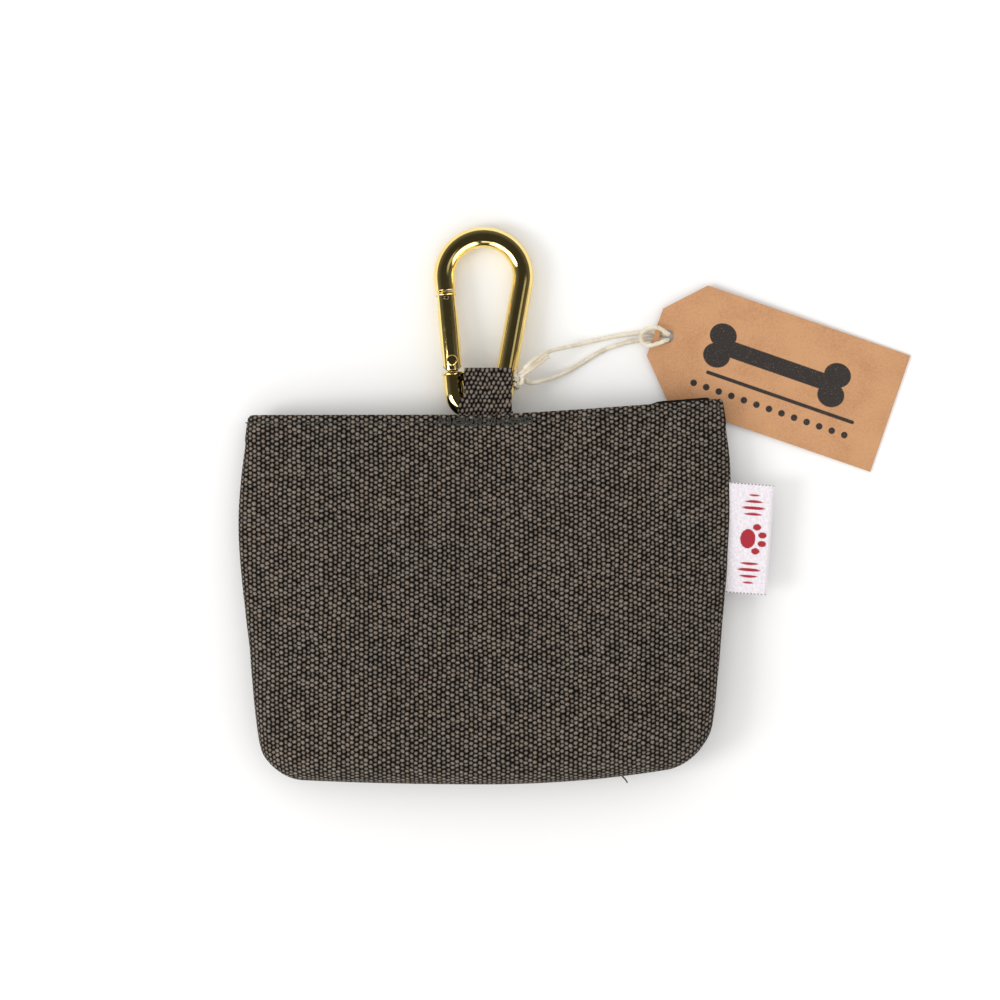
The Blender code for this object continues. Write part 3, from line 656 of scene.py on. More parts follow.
@dataclass(frozen=True)
class CottonFinish:
    """Soft natural cotton, in plies along the cut map's v."""

    name: str = "cotton_string"
    colour: Colour = srgb(240, 233, 216)
    shade: Colour = srgb(206, 192, 168)

    def material(self) -> bpy.types.Material:
        """The finish as a material."""
        dye = Dye(self.name)
        place = dye.place()
        fibre = dye.noise(place, 3300.0, 3.0, 0.7)
        soil = dye.noise(place, 260.0, 2.0)
        colour = dye.blend((fibre * 0.55 + soil * 0.45).ramp(0.35, 0.65), self.shade, self.colour)
        dye.set(Base_Color=colour, Roughness=0.9, Normal=dye.bump(fibre, 0.00018, 0.7),
                Sheen_Weight=0.2)
        return dye.material


class Print:
    """Plain shapes drawn on a flat piece by shader maths, as 1 inside and 0 outside."""

    def __init__(self, dye: Dye, u: Value, v: Value, soft: float) -> None:
        """Takes where a point lies, in millimetres, and how soft the ink's edge is."""
        self.dye, self.u, self.v, self.soft = dye, u, v, soft

    def _ink(self, distance: Value) -> Value:
        """Ink where the distance to the shape is negative."""
        return distance.ramp(-self.soft, self.soft, 1.0, 0.0)

    def disc(self, x: float, y: float, wide: float, tall: float) -> Value:
        """An ellipse of these half sizes."""
        dx, dy = (self.u - x) / wide, (self.v - y) / tall
        return self._ink(((dx * dx + dy * dy).root() - 1.0) * min(wide, tall))

    def bar(self, x: float, y: float, half_long: float, half_tall: float) -> Value:
        """A bar with round ends."""
        dx = ((self.u - x).size() - half_long).most(0.0)
        dy = self.v - y
        return self._ink((dx * dx + dy * dy).root() - half_tall)



@dataclass(frozen=True)
class CardFinish:
    """Kraft card with a plain dark print: a bone over a rule and a row of dots."""

    name: str
    printed: bool
    colour: Colour = srgb(198, 148, 106)
    fleck: Colour = srgb(176, 126, 86)
    ink: Colour = srgb(44, 39, 37)
    bone: tuple[float, float] = (38.0, 2.6)      # its middle, from the card's pointed end
    bone_half: float = 15.5
    knuckle: float = 3.1                         # half the space between an end's knuckles
    rule: tuple[float, float] = (42.0, -6.2)
    dots: tuple[float, float] = (40.0, -10.6)
    dot_pitch: float = 4.0

    def material(self) -> bpy.types.Material:
        """The finish as a material."""
        dye = Dye(self.name)
        place = dye.place()
        fibre = dye.noise(place, 1500.0, 5.0, 0.72)
        cloud = dye.noise(place, 90.0, 3.0, 0.6)
        colour = dye.blend((fibre * 0.6 + cloud * 0.4).ramp(0.4, 0.72), self.colour, self.fleck)
        if self.printed:
            u, v = dye.cut()
            stamp = Print(dye, u, v, 0.12)
            (x, y), end = self.bone, self.bone_half + 2.7
            mark = stamp.bar(x, y, self.bone_half, 2.5)
            for hand in (-end, end):
                for level in (-self.knuckle, self.knuckle):
                    mark = mark.most(stamp.disc(x + hand, y + level, 4.1, 3.7))
            mark = mark.most(stamp.bar(*self.rule, 23.0, 0.55))
            for step in range(-6, 7):
                mark = mark.most(stamp.disc(self.dots[0] + step * self.dot_pitch, self.dots[1],
                                            1.0, 1.0))
            rub = dye.noise(place, 2400.0, 3.0, 0.8)
            colour = dye.blend(mark * rub.ramp(0.2, 0.42), colour, self.ink)
        dye.set(Base_Color=colour, Roughness=0.82, Normal=dye.bump(fibre, 0.00006, 0.5))
        return dye.material


@dataclass(frozen=True)
class LabelFinish:
    """Damask-woven label: white, with a red paw between red bars, and loose end yarns."""

    name: str = "woven_label"
    ground: Colour = srgb(250, 245, 248)
    shade: Colour = srgb(214, 207, 216)
    motif: Colour = srgb(168, 22, 44)
    end_yarn: Colour = srgb(120, 110, 118)
    pitch: float = 0.42
    pad: tuple[float, float] = (5.4, 0.0)
    toes: tuple = ((7.9, -3.6), (9.7, -1.3), (9.7, 1.3), (7.9, 3.6))
    bars: tuple = ((2.6, 0.42), (3.4, 0.5), (2.6, 0.42), (1.6, 0.3))
    bar_x: float = 6.4
    bar_y: float = 7.4
    bar_pitch: float = 1.9

    def material(self) -> bpy.types.Material:
        """The finish as a material."""
        dye = Dye(self.name)
        u, v = dye.cut()
        turn = 2 * math.pi / self.pitch
        rib = (u * turn).wave() * 0.5 + (v * turn * 1.5).wave() * 0.5
        flat = dye.point(u, v)
        soil = dye.noise(flat, 1.1, 3.0, 0.7)
        base = dye.blend((rib * 0.25 + soil * 0.9).ramp(0.2, 0.8), self.shade, self.ground)
        edge = (u * turn).wave() * 0.09
        stitch = Print(dye, u + edge, v + (v * turn).wave() * 0.07, 0.1)
        mark = stitch.disc(*self.pad, 2.3, 2.9)
        for x, y in self.toes:
            mark = mark.most(stitch.disc(x, y, 1.25, 0.95))
        for side in (-1.0, 1.0):
            for step, (wide, tall) in enumerate(self.bars):
                y = side * (self.bar_y + self.bar_pitch * step)
                mark = mark.most(stitch.disc(self.bar_x, y, wide, tall))
        colour = dye.blend(mark, base, self.motif)
        end = (v.size() - 16.1).ramp(0.0, 0.2) * (u * 6.0).wave().ramp(-0.4, 0.4)
        colour = dye.blend(end, colour, self.end_yarn)
        normal = dye.bump(rib * 0.5 + mark * 0.6 + soil * 0.4, 0.00009, 0.6)
        dye.set(Base_Color=colour, Roughness=0.7, Normal=normal, Sheen_Weight=0.1)
        return dye.material


class Finishes:
    """Every finish of the pouch, by the record's slot."""

    def __init__(self) -> None:
        """Makes the materials."""
        # both woven finishes paint a highlight on their crowns and shade in their gaps
        canvas = WovenFinish("canvas_duck")
        self.canvas = canvas.material()
        self.webbing = WovenFinish("loop_webbing", warp=0.67, weft=1.32, crown_wide=0.90,
                                   crown_tall=0.58, yarn_colour=srgb(76, 67, 60)).material()
        self.lining = NylonFinish().material()
        self.thread = ThreadFinish().material()
        self.gold_plate = GoldFinish().material()
        self.spring_steel = SteelFinish("spring_steel", (0.55, 0.55, 0.56), 0.25).material()
        self.nickel = SteelFinish("nickel_plate", (0.66, 0.64, 0.60), 0.18).material()
        self.magnet = MattedFinish("sintered_magnet", (0.045, 0.045, 0.05), 0.45).material()
        self.stiffener = MattedFinish("felted_stiffener", (0.76, 0.74, 0.70), 0.95).material()
        self.label = LabelFinish().material()
        self.kraft_card = CardFinish("kraft_card_printed", True).material()
        self.kraft_plain = CardFinish("kraft_card_plain", False).material()
        self.cotton_string = CottonFinish().material()

    def dress(self, piece: bpy.types.Object, slot: str) -> None:
        """Gives piece the finish of the record's slot."""
        piece.data.materials.clear()
        piece.data.materials.append(getattr(self, slot))


# ------------------------------------------------------------------------------ the bag's form
class Side(Enum):
    """Which wall of the bag."""

    BACK = -1
    FRONT = 1


@dataclass(frozen=True)
class PouchForm:
    """Where the bag's cloth lies, in millimetres, as the frame's canvas solids have it."""

    half_width: float = 74.2
    mouth_y: float = 55.4
    base_y: float = -55.2
    mouth_narrower: float = 3.1
    base_narrower: float = 7.8
    widest_y: float = 27.0
    corner_r: float = 12.0
    mouth_rise: float = 5.2
    base_rise_right: float = 5.0
    base_rise_left: float = 2.2
    back_lift: float = 1.1
    front_mouth_z: float = 14.0
    front_snap_z: float = 14.3
    front_base_z: float = 22.0
    seam_mouth_z: float = 6.5
    seam_base_z: float = 10.5
    snap_drop: float = 18.4
    stiffener_half: float = 9.0
    turn_share: float = 4.0 / 13.0   # of a panel's rows, how many turn into the base

    def seam_z(self, y: float) -> float:
        """Height of the plane of the side and base seams."""
        share = (self.mouth_y - y) / (self.mouth_y - self.base_y)
        return self.seam_mouth_z + (self.seam_base_z - self.seam_mouth_z) * share

    def width(self, y: float) -> float:
        """Half the bag's width at y."""
        if y > self.widest_y:
            share = (y - self.widest_y) / (self.mouth_y - self.widest_y)
            return self.half_width - self.mouth_narrower * share ** 1.5
        share = (self.widest_y - y) / (self.widest_y - self.base_y)
        return self.half_width - self.base_narrower * share ** 1.5

    def centre_z(self, side: Side, y: float) -> float:
        """Height of a panel's outer face along the middle of the bag."""
        snap_y = self.mouth_y - self.snap_drop
        if side is Side.BACK:
            lift_from = snap_y + 8.5
            return self.back_lift * smooth_step(lift_from, self.mouth_y, y)
        if y > snap_y:
            fall = self.front_mouth_z - self.front_snap_z
            return self.front_snap_z + fall * smooth_step(snap_y, self.mouth_y, y)
        flat_y = snap_y - self.stiffener_half - 1.5
        share = max(0.0, flat_y - y) / (flat_y - self.base_y)
        return self.front_snap_z + (self.front_base_z - self.front_snap_z) * math.sin(
            share * math.pi / 2) ** 1.3

    def drape(self, x: float, share: float) -> float:
        """How far a point moves in Y as the bag lies skewed; share goes from 0 at the mouth to 1."""
        right, left = max(0.0, x) / self.half_width, max(0.0, -x) / self.half_width
        mouth = self.mouth_rise * right ** 1.2
        base = self.base_rise_right * 1.6 * right * right + self.base_rise_left * left * left
        return mouth + (base - mouth) * share

    def point(self, side: Side, across: float, row: float, inset: float = 0.0,
              drop: float = 0.0) -> Vector:
        """A point of a panel, in millimetres.

        Args:
            side: Which wall of the bag.
            across: From -1 at the left seam to 1 at the right seam.
            row: From 0 at the mouth to 1 at the base seam.
            inset: How far inside the canvas's outer face.
            drop: How far the layer's edge is below the canvas lip.

        Returns:
            The point.
        """
        turn = self.turn_share
        top, foot = self.mouth_y - drop, self.base_y + inset
        radius = self.corner_r - min(inset, self.corner_r / 2)
        bend = max(0.0, (row - (1.0 - turn)) / turn)
        if bend > 0.0:
            y = foot + radius - radius * math.sin(bend * math.pi / 2)
        else:
            y = top + (foot + radius - top) * row / (1.0 - turn)
        width = self.width(y) - inset - radius * (1.0 - math.cos(bend * math.pi / 2))
        reach = math.sin(min(1.0, abs(across)) * math.pi / 2)
        x = math.copysign(width * reach, across)
        share = (self.mouth_y - y) / (self.mouth_y - self.base_y)
        height = abs(self.centre_z(side, y) - self.seam_z(y)) - inset
        level = 0.5 if side is Side.BACK else 0.1 + 0.35 * share
        beyond = max(0.0, (reach - level) / (1.0 - level))
        crown = math.sqrt(max(0.0, 1.0 - beyond * beyond))
        rise = height * crown * max(0.0, math.cos(bend * math.pi / 2)) ** 0.6
        return Vector((x, y + self.drape(x, share), self.seam_z(y) + side.value * rise))

    def row_at(self, drop: float) -> float:
        """The row that lies drop below the lip."""
        face = self.mouth_y - self.base_y - self.corner_r
        return drop / face * (1.0 - self.turn_share)

    def mouth_line(self, side: Side, drop: float, clear: float, start: float, end: float,
                   steps: int) -> list[Vector]:
        """Points along the mouth, drop below the lip and clear of the cloth, in metres."""
        line = []
        for i in range(steps + 1):
            spot = self.point(side, start + (end - start) * i / steps, self.row_at(drop))
            line.append((spot + Vector((0, 0, side.value * clear))) * MM)
        return line


@dataclass
class Cloth:
    """One layer of a wall of the bag, or of half of it."""

    name: str
    side: Side
    left: float
    right: float
    thickness: float
    columns: int
    face_rows: int
    turn_rows: int
    inset: Callable[[float, float], float]
    drop: Callable[[float], float]
    relief: Callable[[Vector, float, float], float]
    form: PouchForm

    def rows(self) -> list[float]:
        """The rows, closer together where the cloth turns into the base."""
        face = 1.0 - self.form.turn_share
        rows = [face * i / self.face_rows for i in range(self.face_rows)]
        return rows + [face + self.form.turn_share * i / self.turn_rows
                       for i in range(self.turn_rows + 1)]

    def build(self) -> bpy.types.Object:
        """Shapes a grid into the layer, presses its relief and gives it its thickness.

        Returns:
            The closed piece, with its flat cut in its UV map.
        """
        rows = self.rows()
        Bench.clear()
        bpy.ops.mesh.primitive_grid_add(x_subdivisions=self.columns, y_subdivisions=len(rows) - 1,
                                        size=2.0)
        piece = Bench.made(self.name)
        mesh = piece.data
        count = len(mesh.vertices)
        flat = np.zeros(count * 3)
        mesh.vertices.foreach_get("co", flat)
        flat = flat.reshape(-1, 3)
        column = np.rint((flat[:, 0] + 1) / 2 * self.columns).astype(int)
        row = np.rint((1 - flat[:, 1]) / 2 * (len(rows) - 1)).astype(int)
        grid = np.zeros((len(rows), self.columns + 1, 3))
        for j, down in enumerate(rows):
            for i in range(self.columns + 1):
                across = self.left + (self.right - self.left) * i / self.columns
                spot = self.form.point(self.side, across, down)
                below = (self.form.mouth_y - spot.y)
                grid[j, i] = self.form.point(self.side, across, down, self.inset(spot.x, below),
                                             self.drop(spot.x))
        mesh.vertices.foreach_set("co", (grid[row, column] * MM).ravel())
        mesh.update()
        face = 1 if self.side is Side.FRONT else -1
        normals = np.zeros(count * 3)
        mesh.vertices.foreach_get("normal", normals)
        normals = normals.reshape(-1, 3) * face
        places = grid[row, column].copy()
        for k in range(count):
            down = rows[row[k]]
            edge = self._below_lip(grid, row[k], column[k])
            places[k] += normals[k] * self.relief(Vector(places[k]), edge, down)
        mesh.vertices.foreach_set("co", (places * MM).ravel())
        self._lay_flat(mesh, grid, row, column)
        if self.side is Side.BACK:
            mesh.flip_normals()
        mesh.update()
        Bench.apply(piece, "SOLIDIFY", thickness=self.thickness * MM, offset=-1.0,
                    use_even_offset=False)
        Bench.smooth(piece, 60.0)
        return piece

    def _below_lip(self, grid: np.ndarray, row: int, column: int) -> float:
        """How far a grid point is below its column's edge, in millimetres."""
        return float(np.linalg.norm(grid[row, column] - grid[0, column])) if row else 0.0

    def _lay_flat(self, mesh: bpy.types.Mesh, grid: np.ndarray, row: np.ndarray,
                  column: np.ndarray) -> None:
        """Writes the cut map: lengths along the cloth from its middle and from its lip."""
        middle = int(round(-self.left / (self.right - self.left) * self.columns))
        steps = np.linalg.norm(np.diff(grid, axis=1), axis=2)
        across = np.concatenate([np.zeros((grid.shape[0], 1)), np.cumsum(steps, axis=1)], axis=1)
        across -= across[:, middle:middle + 1]
        falls = np.linalg.norm(np.diff(grid[:, middle], axis=0), axis=1)
        down = np.concatenate([[0.0], np.cumsum(falls)])
        layer = mesh.uv_layers.new(name=CUT_MAP)
        for old in [other for other in mesh.uv_layers if other.name != CUT_MAP]:
            mesh.uv_layers.remove(old)
        layer = mesh.uv_layers[CUT_MAP]
        corner = np.zeros(len(mesh.loops), dtype=int)
        mesh.loops.foreach_get("vertex_index", corner)
        flat = np.stack([across[row, column], -down[row]], axis=1)[corner] * MM
        layer.data.foreach_set("uv", flat.ravel())


@dataclass
class CanvasBag:
    """The canvas walls, the lining and the rows of stitches."""

    form: PouchForm
    finishes: Finishes
    canvas: float = 1.3
    lining: float = 0.4
    lining_gap: float = 2.2
    lining_set_back: float = 2.6
    hem: float = 8.0              # how deep the turned hem is
    hem_step: float = 0.35
    stitch_drop: float = 2.4
    stitch_pitch: float = 3.0
    stitch: float = 2.3
    thread: float = 0.42
    lip_roll: float = 0.7         # how far the lip's edge rolls in
    stitch_sink: float = 0.16     # how deep the stitches pull the cloth
    slack: float = 0.55           # the cloth's broad waves
    seam_sink: float = 0.45
    fixed_x: float = 76.0         # millimetres from the middle
    loose_x: float = 14.5         # millimetres from the middle

    def relief(self, spot: Vector, below: float, down: float) -> float:
        """How far the canvas stands out of its smooth form, in millimetres."""
        roll = self.lip_roll * (1.0 - min(1.0, below / 0.9)) ** 2
        hem = self.hem_step * (1.0 - smooth_step(self.hem - 0.7, self.hem + 0.9, below))
        groove = self.stitch_sink * bell(below, self.stitch_drop, 0.55)
        pinch = 0.06 * math.cos(spot.x * 2 * math.pi / self.stitch_pitch) * bell(
            below, self.stitch_drop, 1.3)
        tack = smooth_step(15.5, 12.5, abs(spot.x)) * (
            0.34 * bell(below, self.stitch_drop - 0.6, 0.9) - 0.34 * bell(below, 0.4, 0.7)
            - 0.25 * bell(below, 4.6, 1.4))
        where = Vector((spot.x, spot.y, 3.0 * spot.z))
        slack = self.slack * noise.noise(where * 0.035) + 0.16 * noise.noise(where * 0.11)
        calm = smooth_step(0.0, 12.0, below) * smooth_step(1.0, 0.86, down)
        edge = abs(spot.x) / self.form.width(spot.y)
        seam = self.seam_sink * bell(edge, 1.0, 0.012)
        return hem - roll - groove + pinch - tack + slack * calm - seam

    def build(self) -> list[bpy.types.Object]:
        """Builds the bag's soft pieces and dresses each; the back's pieces go on the back's body."""
        made = []
        halves = (("left", -1.0, 0.0), ("right", 0.0, 1.0))
        for hand, left, right in halves:
            piece = Cloth(f"canvas_front_{hand}", Side.FRONT, left, right, self.canvas, 176, 104,
                          26, lambda x, below: 0.0, lambda x: 0.0, self.relief, self.form).build()
            made.append(self._front(piece, "canvas", "front_panel"))
            piece = Cloth(f"lining_front_{hand}", Side.FRONT, left, right, self.lining, 40, 44, 10,
                          self.lining_inset, lambda x: self.lining_set_back * 0.5,
                          self.lining_relief, self.form).build()
            made.append(self._front(piece, "lining", "front_lining"))
        back = Cloth("canvas_back", Side.BACK, -1.0, 1.0, self.canvas, 240, 90, 26,
                     lambda x, below: 0.0, lambda x: 0.0, self.back_relief, self.form).build()
        made.append(self._back(back, "canvas", "back_panel"))
        back = Cloth("lining_back", Side.BACK, -1.0, 1.0, self.lining, 90, 44, 10,
                     self.lining_inset, self.lining_edge, self.lining_relief, self.form).build()
        made.append(self._back(back, "lining", "back_lining"))
        made += self._stitches()
        return made

    def back_relief(self, spot: Vector, below: float, down: float) -> float:
        """The back's relief: as the front's, but flat where it rests."""
        resting = smooth_step(0.4, 3.0, spot.z)
        return self.relief(spot, below, down) * resting - 0.02 * (1.0 - resting)

    def lining_inset(self, x: float, below: float) -> float:
        """The lining hangs free inside, and is drawn to the canvas at the lip."""
        free = self.canvas + self.lining_gap
        drawn = (1.0 - smooth_step(1.0, 8.5, below)) * smooth_step(10.0, 18.0, abs(x))
        return free - (self.lining_gap - 0.15) * drawn

    def lining_edge(self, x: float) -> float:
        """The back lining's edge is below the lip, and peeps over it near its right end."""
        peep = smooth_step(46.0, 54.0, x) * smooth_step(71.0, 68.0, x)
        return self.lining_set_back * 0.5 * (1.0 - peep) - 0.75 * peep

    def lining_relief(self, spot: Vector, below: float, down: float) -> float:
        """Soft crumples in the lining, inwards only."""
        where = Vector((spot.x, spot.y, 0.0))
        calm = smooth_step(2.0, 10.0, below) * smooth_step(1.0, 0.8, down)
        clear_of_snap = smooth_step(10.0, 16.0, math.hypot(spot.x, spot.y - 37.0))
        crumple = 0.5 + noise.noise(where * 0.09) + 0.4 * noise.noise(where * 0.22)
        return -0.55 * max(0.0, crumple) * calm * clear_of_snap

    def _front(self, piece: bpy.types.Object, slot: str, node: str) -> bpy.types.Object:
        """Dresses a half of the front wall, bakes its place into its mesh and hides its frame node.
        """
        self.finishes.dress(piece, slot)
        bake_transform(piece)
        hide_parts(node)
        return piece

    def _back(self, piece: bpy.types.Object, slot: str, node: str) -> bpy.types.Object:
        """Puts a piece on the back of the pouch."""
        self.finishes.dress(piece, slot)
        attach(piece, "pouch_back")
        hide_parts(node)
        return piece

    def _stitches(self) -> list[bpy.types.Object]:
        """The topstitching, stitch by stitch, on both walls."""
        made = []
        clear = self.hem_step - 0.02
        for hand, start, end in (("left", -0.985, -0.0), ("right", 0.0, 0.985)):
            line = self.form.mouth_line(Side.FRONT, self.stitch_drop, clear, start, end, 300)
            piece = stitch_row(f"topstitch_front_{hand}", line, self.stitch_pitch, self.stitch,
                               self.thread, start=self.stitch_pitch / 2)
            made.append(self._front(piece, "thread", "front_topstitch"))
        line = self.form.mouth_line(Side.BACK, self.stitch_drop, 0.02, -0.985, 0.985, 600)
        piece = stitch_row("topstitch_back", line, self.stitch_pitch, self.stitch, self.thread)
        made.append(self._back(piece, "thread", "back_topstitch"))
        return made


def stitch_pattern(length: float, thickness: float) -> bpy.types.Object:
    """One stitch along X, about the origin: a short thread that dips into the cloth at its ends."""
    Bench.clear()
    bpy.ops.mesh.primitive_uv_sphere_add(segments=8, ring_count=6, radius=0.5)
    stitch = Bench.made("stitch_pattern")
    stitch.data.transform(Matrix.Rotation(math.pi / 2, 4, "Y"))
    for vertex in stitch.data.vertices:
        share = math.copysign(abs(vertex.co.x * 2) ** 0.55, vertex.co.x)
        sag = -0.55 * share ** 4
        vertex.co = mm(share * length / 2, vertex.co.y * thickness,
                       (vertex.co.z + sag) * thickness)
    stitch.data.shade_smooth()
    return stitch


def stitch_row(name: str, line: Sequence[Vector], pitch: float, length: float, thickness: float,
               start: float = 0.0) -> bpy.types.Object:
    """Stitches laid along a line.

    Args:
        name: The piece's name.
        line: Points that the stitches follow, in metres.
        pitch: From stitch to stitch, in millimetres.
        length: Of one stitch.
        thickness: Of the thread.
        start: How far along the line the first one is.

    Returns:
        The row as one piece.
    """
    places = []
    travelled, wanted = 0.0, start
    for a, b in zip(line, line[1:]):
        span = (b - a).length / MM
        while wanted <= travelled + span:
            heading = (b - a).normalized()
            up = Vector((0, 0, 1))
            across = up.cross(heading).normalized()
            up = heading.cross(across)
            turn = Matrix((heading, across, up)).transposed().to_4x4()
            spot = a + (b - a) * ((wanted - travelled) / span)
            places.append(Matrix.Translation(spot) @ turn)
            wanted += pitch
        travelled += span
    piece = repeat(name, stitch_pattern(length, thickness), places)
    return piece


@dataclass
class StrapLoop:
    """The webbing loop and the bar-tack that holds it."""

    form: PouchForm
    finishes: Finishes
    thickness: float = 0.9
    left: float = -6.2
    right: float = 8.0
    top_y: float = 69.5
    fold: tuple[float, float] = (-5.5, 0.8)
    rear: tuple[float, float] = (-8.2, 2.0)
    fold_r: float = 0.72
    columns: int = 36
    tack_width: float = 27.5
    tack_height: float = 3.0
    tack_y: float = 53.5
    tack_up: float = 0.34         # how far the stitches stand over the lip
    tack_zigzags: int = 40
    tack_crossings: int = 16
    thread: float = 0.42

    def path(self) -> list[Vector]:
        """The band's middle line, up the front ply, over the fold and back under the hook's foot.

        Returns:
            Points of (0, y, z) in millimetres.
        """
        low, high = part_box("strap_loop")
        front = high.z / MM - self.thickness / 2
        under = low.z / MM + self.thickness / 2
        top = self.top_y - self.thickness / 2
        points = [(51.6, front), (54.0, front), (56.5, front), (60.0, front - 0.05),
                  (64.0, front), (67.0, front), (top - self.fold_r, front)]
        for i in range(1, 6):
            angle = math.pi / 2 - math.pi * i / 6
            points.append((top - self.fold_r + self.fold_r * math.cos(angle),
                           front - self.fold_r + self.fold_r * math.sin(angle)))
        back = front - 2 * self.fold_r
        points += [(top - self.fold_r, back), (67.95, back - 0.35), (67.6, back - 1.1),
                   (67.55, back - 2.2), (67.5, back - 3.8), (67.2, under + 1.5),
                   (66.3, under + 0.3), (64.0, under), (60.5, under),
                   (57.5, under), (55.2, under + 0.15), (54.0, under + 1.0), (53.45, under + 2.8),
                   (53.35, under + 5.2), (53.3, front - 2.0)]
        return catmull([Vector((0.0, y, z)) for y, z in points], 5)

    def edges(self, share: float, spot: Vector) -> tuple[float, float]:
        """The band's left and right edges at a point of its path."""
        front_left = self.left - 1.9 * smooth_step(61.5, 58.5, spot.y)
        squeeze = smooth_step(0.40, 0.52, share)
        spread = smooth_step(0.60, 0.68, share)
        left = front_left + (self.fold[0] - front_left) * squeeze + (
            self.rear[0] - self.fold[0]) * spread
        right = self.right + (self.fold[1] - self.right) * squeeze + (
            self.rear[1] - self.fold[1]) * spread
        right += 0.9 * smooth_step(57.5, 54.5, spot.y) * (1.0 - squeeze)
        return left, right

    def band(self) -> bpy.types.Object:
        """The loop: a grid bent along the path, thickened and rounded."""
        path = self.path()
        rows = len(path) - 1
        Bench.clear()
        bpy.ops.mesh.primitive_grid_add(x_subdivisions=self.columns, y_subdivisions=rows, size=2.0)
        piece = Bench.made("strap_loop_band")
        mesh = piece.data
        lengths = [0.0]
        for a, b in zip(path, path[1:]):
            lengths.append(lengths[-1] + (b - a).length)
        cuts = {}
        for vertex in mesh.vertices:
            i = round((vertex.co.y + 1) / 2 * rows)
            share_x = (vertex.co.x + 1) / 2
            spot = path[i]
            left, right = self.edges(lengths[i] / lengths[-1], spot)
            x = left + (right - left) * share_x
            bow = 0.25 * (1.0 - (2 * share_x - 1) ** 2) * smooth_step(56.0, 60.0, spot.y)
            rough = 0.10 * noise.noise(Vector((x, spot.y, spot.z)) * 0.3)
            vertex.co = mm(x, spot.y, spot.z + bow * 0.3 + rough)
            cuts[vertex.index] = (x, lengths[i])
        lay_out(mesh, cuts)
        mesh.flip_normals()
        Bench.apply(piece, "SOLIDIFY", thickness=self.thickness * MM, offset=0.0)
        Bench.apply(piece, "BEVEL", width=0.00022, segments=2, limit_method="ANGLE",
                    angle_limit=math.radians(60))
        Bench.pick(piece)
        bpy.ops.object.mode_set(mode="EDIT")
        bpy.ops.mesh.select_all(action="SELECT")
        bpy.ops.mesh.normals_make_consistent(inside=False)
        bpy.ops.object.mode_set(mode="OBJECT")
        Bench.smooth(piece, 45.0)
        self.finishes.dress(piece, "webbing")
        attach(piece, "strap")
        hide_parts("strap_loop")
        return piece

    def bartack(self) -> bpy.types.Object:
        """Dense zigzag stitches over the strap's root, pressed into the canvas."""
        rng = random.Random(7)
        pattern = stitch_pattern(self.tack_height, self.thread)
        places = []
        for i in range(self.tack_zigzags):
            x = (i / (self.tack_zigzags - 1) - 0.5) * self.tack_width
            middle = self.tack_y + 0.4 * math.sin(i * 0.9) + rng.uniform(-0.5, 0.5)
            lean = math.radians(90 + (22 if i % 2 else -22) + rng.uniform(-16, 16))
            z = self.form.front_mouth_z + self.tack_up + rng.uniform(-0.12, 0.2)
            places.append(Matrix.Translation(mm(x + rng.uniform(-0.3, 0.3), middle, z))
                          @ Matrix.Rotation(lean, 4, "Z"))
        for _ in range(self.tack_crossings):
            x = rng.uniform(-0.48, 0.48) * self.tack_width
            z = self.form.front_mouth_z + 0.5
            places.append(Matrix.Translation(mm(x, self.tack_y + rng.uniform(-1.6, 1.3), z))
                          @ Matrix.Rotation(math.radians(rng.uniform(-14, 14)), 4, "Z"))
        piece = repeat("strap_bartack_stitches", pattern, places)
        self.finishes.dress(piece, "thread")
        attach(piece, "front_wall")
        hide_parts("strap_bartack")
        return piece

    def build(self) -> list[bpy.types.Object]:
        """Builds the loop and its bar-tack."""
        return [self.band(), self.bartack()]


